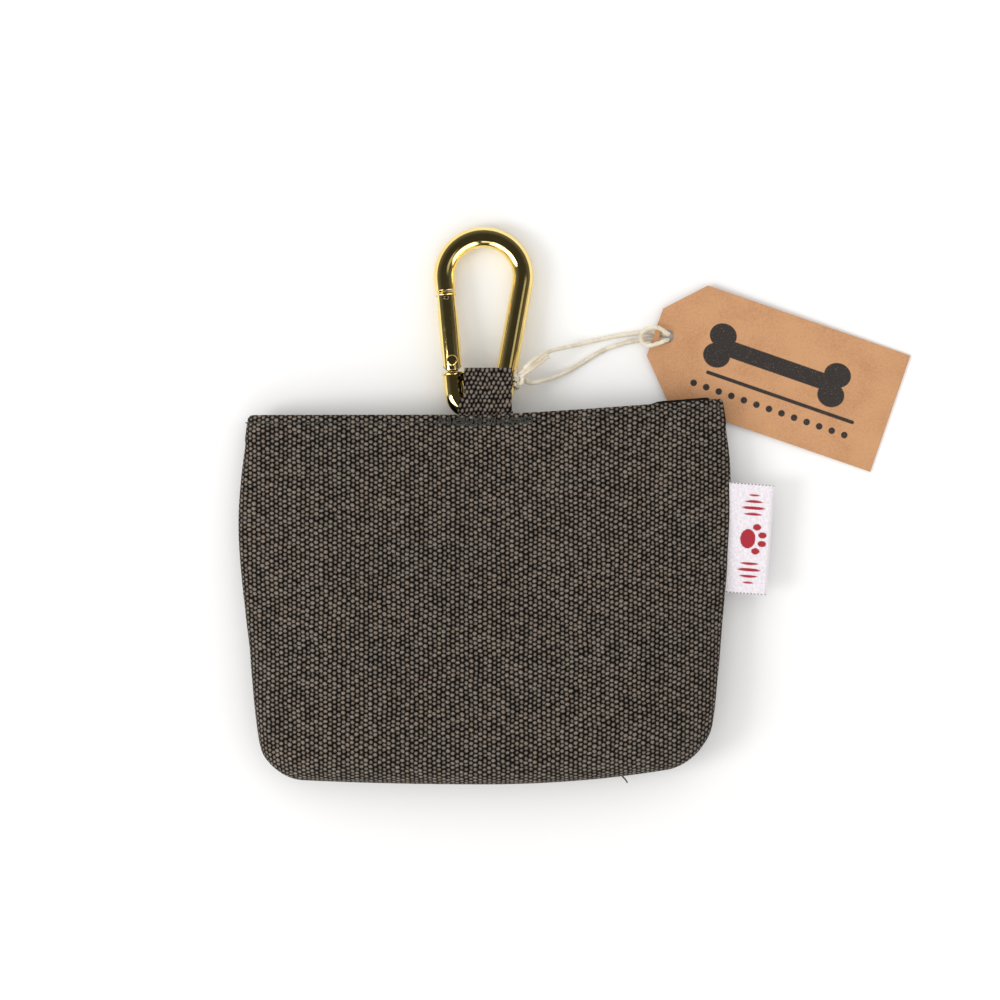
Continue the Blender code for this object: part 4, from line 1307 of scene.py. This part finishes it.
# ------------------------------------------------------------------------------ snap hook
@dataclass
class SnapHook:
    """The snap hook: bent wire, slotted gate, rivet and latch pin."""

    finishes: Finishes
    wire_r: float = 3.2
    length: float = 58.0
    top_r: float = 11.8
    foot_r: float = 5.0
    foot_flat: float = 2.2
    place_x: float = -2.2
    yaw: float = -2.4
    gate_r: float = 3.0
    pivot_y: float = 16.9
    gate_reach: float = 21.0
    gate_slot: float = 1.3
    tongue: float = 0.9
    tongue_half: float = 1.6
    nose_slot: float = 5.4
    rivet_r: float = 0.8
    rivet_head_r: float = 1.7
    latch_pin_r: float = 0.6
    latch_reach: float = 19.0
    gap: float = 0.3

    def __post_init__(self) -> None:
        """Reads the hook's tilt from how high the loop holds its foot."""
        foot_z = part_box("strap_loop")[1].z / MM - 0.9 - self.gap - self.wire_r - 0.1
        self.pitch = -math.asin((foot_z - self.wire_r) / (self.length - 2 * self.wire_r))
        self.lift = foot_z - math.sin(self.pitch) * self.wire_r

    def frame(self) -> Matrix:
        """The hook's own frame, in metres: x across it, y up it and z out of it."""
        turn = Matrix.Rotation(math.radians(self.yaw), 4, "Z") @ Matrix.Rotation(self.pitch, 4, "X")
        return Matrix.Translation(mm(self.place_x, 54.3, self.lift)) @ turn

    def right_leg(self) -> tuple[Vector, Vector, float]:
        """Where the right leg starts and ends, and its normal's heading."""
        top = Vector((0.0, self.length - self.wire_r - self.top_r))
        foot = Vector((self.foot_flat, self.wire_r + self.foot_r))
        span = top - foot
        normal = math.atan2(span.y, span.x) - math.acos((self.foot_r - self.top_r) / span.length)
        out = Vector((math.cos(normal), math.sin(normal)))
        return foot + out * self.foot_r, top + out * self.top_r, normal

    def leg_point(self, y: float, hand: float) -> Vector:
        """The middle of a leg's wire at height y; hand is 1 for the right leg, -1 for the left."""
        low, high, _ = self.right_leg()
        x = low.x + (high.x - low.x) * (y - low.y) / (high.y - low.y)
        return Vector((hand * x, y))

    def lean(self) -> float:
        """How far the legs lean from the hook's axis."""
        low, high, _ = self.right_leg()
        return math.atan2(high.x - low.x, high.y - low.y)

    def gate_frame(self) -> Matrix:
        """The gate's frame: y along the gate from its rivet."""
        pivot = self.leg_point(self.pivot_y, -1.0)
        return self.frame() @ Matrix.Translation(mm(*pivot)) @ Matrix.Rotation(self.lean(), 4, "Z")

    def centreline(self) -> list[Vector]:
        """The wire's middle line, from its nose over the round end and the foot to its heel."""
        def arc(x: float, y: float, radius: float, start: float, end: float, steps: int
                ) -> list[Vector]:
            """Points of an arc in the hook's plane."""
            return [Vector((x + radius * math.cos(start + (end - start) * i / steps),
                            y + radius * math.sin(start + (end - start) * i / steps), 0.0))
                    for i in range(steps + 1)]

        _, _, normal = self.right_leg()
        lean = self.lean()
        along = Vector((-math.sin(lean), math.cos(lean), 0.0))
        pivot = self.leg_point(self.pivot_y, -1.0).to_3d()
        line = [pivot + along * (self.gate_reach + self.gap)]
        line += arc(0.0, self.length - self.wire_r - self.top_r, self.top_r, math.pi - normal,
                    normal, 40)
        foot_y = self.wire_r + self.foot_r
        line += arc(self.foot_flat, foot_y, self.foot_r, normal, -math.pi / 2, 16)
        line += arc(-self.foot_flat, foot_y, self.foot_r, -math.pi / 2, -math.pi - normal, 16)
        line.append(pivot - along * (self.gate_r + self.gap))
        return line

    def wire(self) -> bpy.types.Object:
        """The bent wire with its heel collar and tongue, nose stem and lip."""
        line = [point * MM for point in self.centreline()]
        even = [line[0]]
        for a, b in zip(line, line[1:]):
            steps = max(1, int((b - a).length / (1.2 * MM)))
            even += [a.lerp(b, (i + 1) / steps) for i in range(steps)]
        piece = Bench.tube("hook_wire", even, self.wire_r * MM, 8)
        Bench.apply(piece, "BEVEL", width=0.0005, segments=3, limit_method="ANGLE",
                    angle_limit=math.radians(60))
        local = Matrix.Translation(mm(*self.leg_point(self.pivot_y, -1.0))) @ Matrix.Rotation(
            self.lean(), 4, "Z")
        sink = 1.2
        heel = Bench.box("heel_tongue", mm(-self.tongue_half, -self.gate_r - self.gap - sink,
                                           -self.tongue),
                         mm(self.tongue_half, self.tongue_half, self.tongue), 0.0002)
        nose_low = self.latch_reach - self.latch_pin_r - 0.7 - 1.2
        stem = Bench.box("nose_stem", mm(-2.2, nose_low, -self.tongue),
                         mm(-self.latch_pin_r - self.gap, self.gate_reach + self.gap + sink,
                            self.tongue), 0.00015)
        lip = Bench.box("nose_lip", mm(-2.15, nose_low - 0.02, -self.tongue + 0.03),
                        mm(1.0, nose_low + 1.2, self.tongue - 0.03), 0.00012)
        collar = Bench.rod("heel_collar", (self.wire_r + 0.25) * MM,
                           -(self.gate_r + self.gap + 1.0) * MM, -(self.gate_r + self.gap) * MM,
                           "Y", 48, 0.0004)
        for tool in (collar, heel, stem, lip):
            tool.data.transform(local)
            Bench.cut(piece, tool, "UNION")
        hole = Bench.rod("rivet_hole", (self.rivet_r + 0.2) * MM, -0.004, 0.004)
        hole.data.transform(local)
        Bench.cut(piece, hole)
        piece.data.transform(self.frame())
        Bench.smooth(piece, 38.0)
        return self._finish(piece, "hook", "hook_body")

    def gate(self) -> bpy.types.Object:
        """The gate: a round bar, slotted at both ends, with a collar by its nose."""
        piece = Bench.rod("gate_bar", self.gate_r * MM, -self.gate_r * MM, self.gate_reach * MM,
                          "Y", 48, 0.0005)
        collar = Bench.rod("gate_collar", (self.gate_r + 0.22) * MM, (self.gate_reach - 1.1) * MM,
                           (self.gate_reach - 0.25) * MM, "Y", 48, 0.0003)
        Bench.cut(piece, collar, "UNION")
        reach = 2 * self.gate_r
        heel = Bench.box("heel_slot", mm(-reach, -reach, -self.gate_slot),
                         mm(reach, self.tongue_half * 1.42 + self.gap, self.gate_slot))
        nose = Bench.box("nose_slot", mm(-reach, self.gate_reach - self.nose_slot,
                                         -self.gate_slot),
                         mm(reach, self.gate_reach + 2, self.gate_slot))
        bore = Bench.rod("bore", 0.00155, 0.0, 0.0123, "Y", 24)
        pin_hole = Bench.rod("pin_hole", (self.latch_pin_r + 0.15) * MM, -0.01, 0.01)
        pin_hole.data.transform(Matrix.Translation(mm(0, self.latch_reach)))
        ear_hole = Bench.rod("ear_hole", (self.rivet_r + 0.15) * MM, -0.01, 0.01)
        corners = Bench.box("heel_corners", mm(-reach, -reach, -reach), mm(reach, 0, reach))
        Bench.cut(corners, Bench.rod("heel_round", self.gate_r * MM, -0.01, 0.01, "Z", 64))
        for tool in (corners, heel, nose, bore, pin_hole, ear_hole):
            Bench.cut(piece, tool)
        piece.data.transform(self.gate_frame())
        Bench.smooth(piece, 38.0)
        return self._finish(piece, "gate", "gate")

    def pins(self) -> list[bpy.types.Object]:
        """The domed pivot rivet and the flush latch pin."""
        half = self.gate_r + 0.05
        rivet = Bench.rod("rivet_shank", self.rivet_r * MM, -half * MM, half * MM, "Z", 24)
        heads = []
        for way in (-1.0, 1.0):
            low, high = sorted((way * (half - 0.45), way * (half + 0.75)))
            heads.append(Bench.rod("rivet_head", self.rivet_head_r * MM, low * MM, high * MM, "Z",
                                   32, 0.00095))
        for head in heads:
            Bench.cut(rivet, head, "UNION")
        rivet.name = rivet.data.name = "pivot_rivet_domed"
        rivet.data.transform(self.gate_frame())
        Bench.smooth(rivet, 50.0)
        pin_half = math.sqrt(self.gate_r ** 2 - self.latch_pin_r ** 2) - 0.02
        pin = Bench.rod("latch_pin_flush", self.latch_pin_r * MM, -pin_half * MM, pin_half * MM,
                        "Z", 24, 0.0001)
        pin.data.transform(self.gate_frame() @ Matrix.Translation(mm(0, self.latch_reach)))
        Bench.smooth(pin, 50.0)
        return [self._finish(rivet, "hook", "pivot_rivet"), self._finish(pin, "gate", "latch_pin")]

    def _finish(self, piece: bpy.types.Object, body: str, node: str) -> bpy.types.Object:
        """Dresses a piece of the hook and puts it on its body."""
        self.finishes.dress(piece, "gold_plate")
        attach(piece, body)
        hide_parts(node)
        return piece

    def build(self) -> list[bpy.types.Object]:
        """Builds the hook's pieces."""
        return [self.wire(), self.gate(), *self.pins()]


# ------------------------------------------------------------------------------ tag and string
@dataclass
class HangTag:
    """The card tag, its string and the string's knot on the hook."""

    finishes: Finishes
    hook: SnapHook
    length: float = 75.0
    height: float = 37.0
    card: float = 0.5
    chamfer_along: float = 10.5
    chamfer_across: float = 11.0
    angle: float = -19.1
    end: tuple[float, float] = (51.1, 80.4)
    lift: float = 1.6
    hole_inset: float = 3.7
    hole_r: float = 2.1
    string: float = 1.4
    knot_y: float = 11.0
    near_a: tuple = (
        (0.0118, 0.0692, 0.0110), (0.0136, 0.0710, 0.0112), (0.0164, 0.0731, 0.0102),
        (0.0200, 0.0747, 0.0076),
        (0.0240, 0.0757, 0.0044), (0.0280, 0.0766, 0.0020), (0.0320, 0.0776, 0.00095),
        (0.0360, 0.0785, 0.0008), (0.0404, 0.07935, 0.0008),
    )
    near_b: tuple = (
        (0.0120, 0.0656, 0.0078), (0.0139, 0.0650, 0.0062), (0.0168, 0.0656, 0.0050),
        (0.0205, 0.0666, 0.0030),
        (0.0245, 0.0684, 0.0014), (0.0285, 0.0707, 0.00085), (0.0325, 0.0732, 0.0008),
        (0.0364, 0.0753, 0.0008), (0.0402, 0.0766, 0.0008),
    )
    far: tuple = (
        (0.0435, 0.0798, 0.0008), (0.0465, 0.0802, 0.00078),
        (0.0495, 0.0804, 0.00078), (0.0520, 0.0802, 0.00078), (0.0540, 0.0799, 0.00095),
        (0.0551, 0.07975, 0.0023), (0.0542, 0.0803, 0.0036), (0.0522, 0.0816, 0.00385),
        (0.0496, 0.0817, 0.0035), (0.0476, 0.0806, 0.0031), (0.0469, 0.0790, 0.0030),
        (0.0473, 0.0773, 0.0031), (0.0492, 0.0763, 0.0035), (0.0519, 0.0769, 0.00385),
        (0.0539, 0.0777, 0.0036), (0.0549, 0.07805, 0.0023), (0.0538, 0.0781, 0.00095),
        (0.0518, 0.0782, 0.00078), (0.0490, 0.0783, 0.00078), (0.0460, 0.0779, 0.00078),
        (0.0432, 0.0774, 0.0008),
    )

    def cord_mesh(self, name: str, line: Sequence[Vector], radius: float, twist: float = 1.9
                  ) -> bpy.types.Object:
        """A string of two twisted plies along a line.

        Args:
            name: The piece's name.
            line: Points in metres.
            radius: Half the string's thickness, in millimetres.
            twist: Millimetres in which the plies turn once.

        Returns:
            The string as a closed mesh.
        """
        even = [line[0]]
        for a, b in zip(line, line[1:]):
            steps = max(1, round((b - a).length / (0.28 * MM)))
            even += [a.lerp(b, (i + 1) / steps) for i in range(steps)]
        sides = 14
        mesh = bpy.data.meshes.new(name)
        work = bmesh.new()
        heading = (even[1] - even[0]).normalized()
        normal = heading.orthogonal().normalized()
        rings, travelled = [], 0.0
        for i, spot in enumerate(even):
            ahead = even[min(i + 1, len(even) - 1)] - even[max(i - 1, 0)]
            turn = heading.rotation_difference(ahead.normalized())
            normal = (turn @ normal).normalized()
            heading = ahead.normalized()
            across = heading.cross(normal)
            if i:
                travelled += (spot - even[i - 1]).length / MM
            phase = 2 * math.pi * travelled / twist
            ring = []
            for k in range(sides):
                angle = 2 * math.pi * k / sides
                ply = 0.80 + 0.20 * abs(math.cos(angle - phase / 2)) ** 0.8
                out = normal * math.cos(angle) + across * math.sin(angle)
                ring.append(work.verts.new(spot + out * radius * ply * MM))
            rings.append(ring)
        for first, second in zip(rings, rings[1:]):
            for k in range(sides):
                n = (k + 1) % sides
                work.faces.new((first[k], first[n], second[n], second[k]))
        work.faces.new(list(reversed(rings[0])))
        work.faces.new(rings[-1])
        bmesh.ops.recalc_face_normals(work, faces=work.faces)
        work.to_mesh(mesh)
        work.free()
        mesh.shade_smooth()
        piece = Bench.put(name, mesh)
        self.finishes.dress(piece, "cotton_string")
        return piece

    def strands(self) -> tuple[bpy.types.Object, list[Vector]]:
        """The string from the knot, through the card as a girth hitch, and back to the knot."""
        points = [Vector(p) for p in (*self.near_a, *self.far, *reversed(self.near_b))]
        line = catmull(points, 6)
        piece = self.cord_mesh("tag_string", line, self.string / 2)
        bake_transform(piece)
        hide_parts("tag_string_near_a", "tag_string_near_b", "tag_string_far")
        return piece, line

    def knot(self) -> bpy.types.Object:
        """The string's turns round the hook's right leg, the knot beside it and its tail."""
        leg = self.hook.leg_point(self.knot_y, 1.0)
        frame = self.hook.frame()
        radius = self.hook.wire_r + self.string / 2 + 0.1
        parts = []
        for k, y in enumerate((-0.8, 0.85)):
            turns = [math.radians(48 - 236 * i / 36) for i in range(37)]
            ring = [frame @ mm(leg.x + radius * math.cos(t), leg.y + y + 0.9 * math.sin(t / 2),
                               radius * math.sin(t)) for t in turns]
            parts.append(self.cord_mesh(f"knot_turn_{k}", ring, self.string / 2))
        centre = Vector((0.0105, 0.0669, 0.0100))
        loop = []
        for i in range(61):
            t = 2 * math.pi * i / 60 * 0.93
            knot = Vector((math.sin(t) + 2 * math.sin(2 * t), math.cos(t) - 2 * math.cos(2 * t),
                           -math.sin(3 * t)))
            loop.append(centre + Vector((knot.x * 0.55, knot.y * 0.72, knot.z * 0.62)) * MM)
        parts.append(self.cord_mesh("knot_core", loop, self.string / 2 * 0.92))
        for k, reach in enumerate(((2.2, 4.4, 6.6, 8.6), (2.6, 5.0, 7.0, 8.1))):
            tail = [centre + Vector((x, 0.72 * x + (0.9 if k else -0.2), 0.9 - 0.02 * x * x)) * MM
                    for x in (0.0, *reach)]
            parts.append(self.cord_mesh(f"knot_tail_{k}", catmull(tail, 4), self.string / 2 * 0.9))
        piece = Bench.join("tag_string_knot", parts)
        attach(piece, "hook")
        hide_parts("tag_knot")
        return piece

    def card_piece(self) -> bpy.types.Object:
        """The card, cut from a plane with its chamfered end and punched hole."""
        half = self.height / 2
        cut = half - self.chamfer_across
        outline = [(0, cut), (0, -cut), (self.chamfer_along, -half), (self.length, -half),
                   (self.length, half), (self.chamfer_along, half)]
        curve = bpy.data.curves.new("tag_card_blank", "CURVE")
        curve.dimensions = "2D"
        curve.fill_mode = "BOTH"
        curve.extrude = self.card / 2 * MM
        ring = [(self.hole_inset + self.hole_r * math.cos(a * math.pi / 20),
                 self.hole_r * math.sin(a * math.pi / 20)) for a in range(40)]
        for points in (outline, ring):
            spline = curve.splines.new("POLY")
            spline.points.add(len(points) - 1)
            for target, (x, y) in zip(spline.points, points):
                target.co = (*mm(x, y), 1.0)
            spline.use_cyclic_u = True
        Bench.pick(Bench.put("tag_card_kraft", curve))
        bpy.ops.object.convert(target="MESH")
        piece = Bench.made("tag_card_kraft")
        bpy.ops.object.mode_set(mode="EDIT")
        bpy.ops.mesh.select_all(action="SELECT")
        bpy.ops.mesh.remove_doubles(threshold=0.000005)
        bpy.ops.object.mode_set(mode="OBJECT")
        Bench.apply(piece, "BEVEL", width=0.00008, segments=2, limit_method="ANGLE",
                    angle_limit=math.radians(60))
        mesh = piece.data
        for old in list(mesh.uv_layers):
            mesh.uv_layers.remove(old)
        layer = mesh.uv_layers.new(name=CUT_MAP)
        for loop in mesh.loops:
            spot = mesh.vertices[loop.vertex_index].co
            layer.data[loop.index].uv = (spot.x, spot.y)
        self.finishes.dress(piece, "kraft_card")
        mesh.materials.append(self.finishes.kraft_plain)
        for polygon in mesh.polygons:
            if polygon.normal.z < 0.5:
                polygon.material_index = 1
        slope = math.asin(self.lift / self.length)
        turn = Matrix.Rotation(math.radians(self.angle), 4, "Z") @ Matrix.Rotation(slope, 4, "Y")
        place = Matrix.Translation(mm(*self.end, self.lift + self.card / 2 + 0.05))
        mesh.transform(place @ turn)
        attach(piece, "tag")
        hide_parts("tag_card")
        return piece

    def build(self) -> list[bpy.types.Object]:
        card = self.card_piece()
        knot = self.knot()
        string, line = self.strands()
        round(line_length(line), 3)
        log.info("string of %.0f mm", line_length(line) / MM)
        return [card, knot, string]


# ------------------------------------------------------------------------------ label and trim
@dataclass
class Trim:
    """The folded side label and the loose end of the base seam's thread."""

    form: PouchForm
    finishes: Finishes
    length: float = 33.0
    width: float = 12.2
    ply: float = 0.28
    top_y: float = 35.2
    tilt: float = 4.3
    tuck: float = 3.0             # how much of the strip is sewn into the seam
    spread: float = 0.22          # half the space between the plies

    def label(self) -> bpy.types.Object:
        """The label: a strip folded on itself, its fold outwards, standing out of the side seam."""
        columns, rows = 44, 60
        Bench.clear()
        bpy.ops.mesh.primitive_grid_add(x_subdivisions=columns, y_subdivisions=rows, size=2.0)
        piece = Bench.made("side_label_folded")
        mesh = piece.data
        run = self.width + self.tuck
        cuts = {}
        for vertex in mesh.vertices:
            along = (vertex.co.x + 1) * run
            y = vertex.co.y * self.length / 2
            top = along < run
            x = along - self.tuck if top else 2 * run - along - self.tuck
            open_by = self.spread * min(1.0, max(0.0, (self.width - x) / 0.5)) ** 0.5
            wave = 0.35 * noise.noise(Vector((x * 0.12, y * 0.07, 3.0))) * smooth_step(0, 8, x)
            z = (open_by if top else -open_by) + wave
            vertex.co = mm(x, y, z)
            cuts[vertex.index] = (x if top else 2 * self.width - x + 6.0, y)
        lay_out(mesh, cuts)
        Bench.apply(piece, "SOLIDIFY", thickness=self.ply * MM, offset=-1.0, use_even_offset=False)
        Bench.smooth(piece, 60.0)
        middle = self.top_y - self.length / 2
        low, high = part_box("side_label")
        place = Matrix.Translation(Vector(((low.x + 0.0004), middle * MM, (low.z + high.z) / 2)))
        mesh.transform(place @ Matrix.Rotation(math.radians(-self.tilt), 4, "Z"))
        self.finishes.dress(piece, "label")
        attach(piece, "pouch_back")
        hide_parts("side_label")
        2 * run * MM
        return piece

    def thread_end(self) -> bpy.types.Object:
        """A short black thread end that hangs out of the base seam."""
        line = catmull([mm(39.6, -51.3, 13.6), mm(40.8, -52.4, 13.9), mm(41.9, -53.6, 13.2),
                        mm(42.6, -54.6, 12.2)], 5)
        piece = Bench.tube("base_thread_end", line, 0.00022, 2)
        self.finishes.dress(piece, "thread")
        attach(piece, "pouch_back")
        return piece

    def build(self) -> list[bpy.types.Object]:
        """Builds the label and the thread end."""
        return [self.label(), self.thread_end()]


def dress_frame_nodes(finishes: Finishes) -> None:
    """Gives the frame's own nodes that still show the finish of their slot."""
    for part in frame["record"]["subparts"]:
        node = frame["nodes"][part["node"]]
        node.data.materials.clear()
        node.data.materials.append(getattr(finishes, part["material_slot"]))


# ------------------------------------------------------------------------------ set and light
@dataclass
class Studio:
    """The pale floor, the soft light and the camera straight above."""

    view_x: float = 4.5
    view_y: float = 29.9
    height: float = 2000.0
    field: float = 300.0          # millimetres across the picture, where the hook lies
    field_z: float = 7.0
    surround: float = 1.0         # how strong the even light is
    window_left: tuple = (-1.2, -0.3, 1.0)
    window_front: tuple = (-0.10, -1.3, 1.15)

    def camera(self) -> None:
        """Hangs the camera over the pouch, looking straight down."""
        data = bpy.data.cameras.new("camera")
        data.sensor_width = 36.0
        data.lens = 36.0 * (self.height - self.field_z) / self.field
        data.clip_end = 20.0
        camera = Bench.put("camera", data)
        camera.location = mm(self.view_x, self.view_y, self.height)
        bpy.context.scene.camera = camera

    def floor(self) -> None:
        """A wide white floor."""
        Bench.clear()
        bpy.ops.mesh.primitive_plane_add(size=6.0, location=(0, 0, 0))
        floor = Bench.made("floor")
        dye = Dye("floor_white")
        dye.set(Base_Color=(0.9, 0.9, 0.9), Roughness=0.9, Specular_IOR_Level=0.1)
        floor.data.materials.append(dye.material)

    def sky(self) -> None:
        """An even white surround; polished metal sees a dim room with two tall windows."""
        world = bpy.data.worlds.new("surround")
        bpy.context.scene.world = world
        world.use_nodes = True
        sky = SkyDye(world)
        heading = sky.node("ShaderNodeTexCoord", None, None, "Generated")
        x, y, z = (sky.node("ShaderNodeSeparateXYZ", None, {0: heading}, i) for i in range(3))
        dim = z.ramp(0.0, 0.16, 0.9, 0.13) * z.ramp(0.2, 0.9, 1.0, 0.25)
        pane = x.size().ramp(0.16, 0.26) * (0.0 - y).ramp(0.10, 0.30)
        window = pane * z.ramp(0.12, 0.26) * z.ramp(0.80, 0.66)
        lamp = x.ramp(0.30, 0.40) * x.ramp(0.72, 0.60) * y.size().ramp(0.22, 0.08)
        room = dim + window * 3.2 + lamp * z.ramp(0.6, 0.7) * 0.5
        polished = sky.node("ShaderNodeLightPath", None, None, "Is Glossy Ray")
        light = room * polished + (1.0 - polished)
        tint = sky.blend(light * 0.25, (0.0, 0.0, 0.0), (4.0, 3.97, 3.90))
        sky.light(tint, self.surround)

    def softbox(self, name: str, place: Vector, size: float, power: float) -> None:
        """A square soft light aimed at the pouch."""
        data = bpy.data.lights.new(name, "AREA")
        data.size = size
        data.energy = power
        light = Bench.put(name, data)
        light.location = place
        light.rotation_euler = (mm(0, 20) - place).to_track_quat("-Z", "Y").to_euler()

    def build(self) -> None:
        """Sets up the camera, floor and light."""
        self.camera()
        self.floor()
        self.sky()
        self.softbox("window_left", Vector(self.window_left), 0.6, 8.5)
        self.softbox("window_front", Vector(self.window_front), 0.45, 0.8)
        settings = bpy.context.scene.view_settings
        settings.view_transform = "Standard"
        settings.look = "None"


def main() -> None:
    """Builds the pouch's pieces in order and reports each."""
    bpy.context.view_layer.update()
    studio = Studio()
    studio.build()
    finishes = Finishes()
    dress_frame_nodes(finishes)
    form = PouchForm()
    hook = SnapHook(finishes)
    parts = (HangTag(finishes, hook), CanvasBag(form, finishes), StrapLoop(form, finishes), hook,
             Trim(form, finishes))
    for part in parts:
        for piece in part.build():
            log.info("%s: %d faces", piece.name, len(piece.data.polygons))


if __name__ == "__main__":
    main()
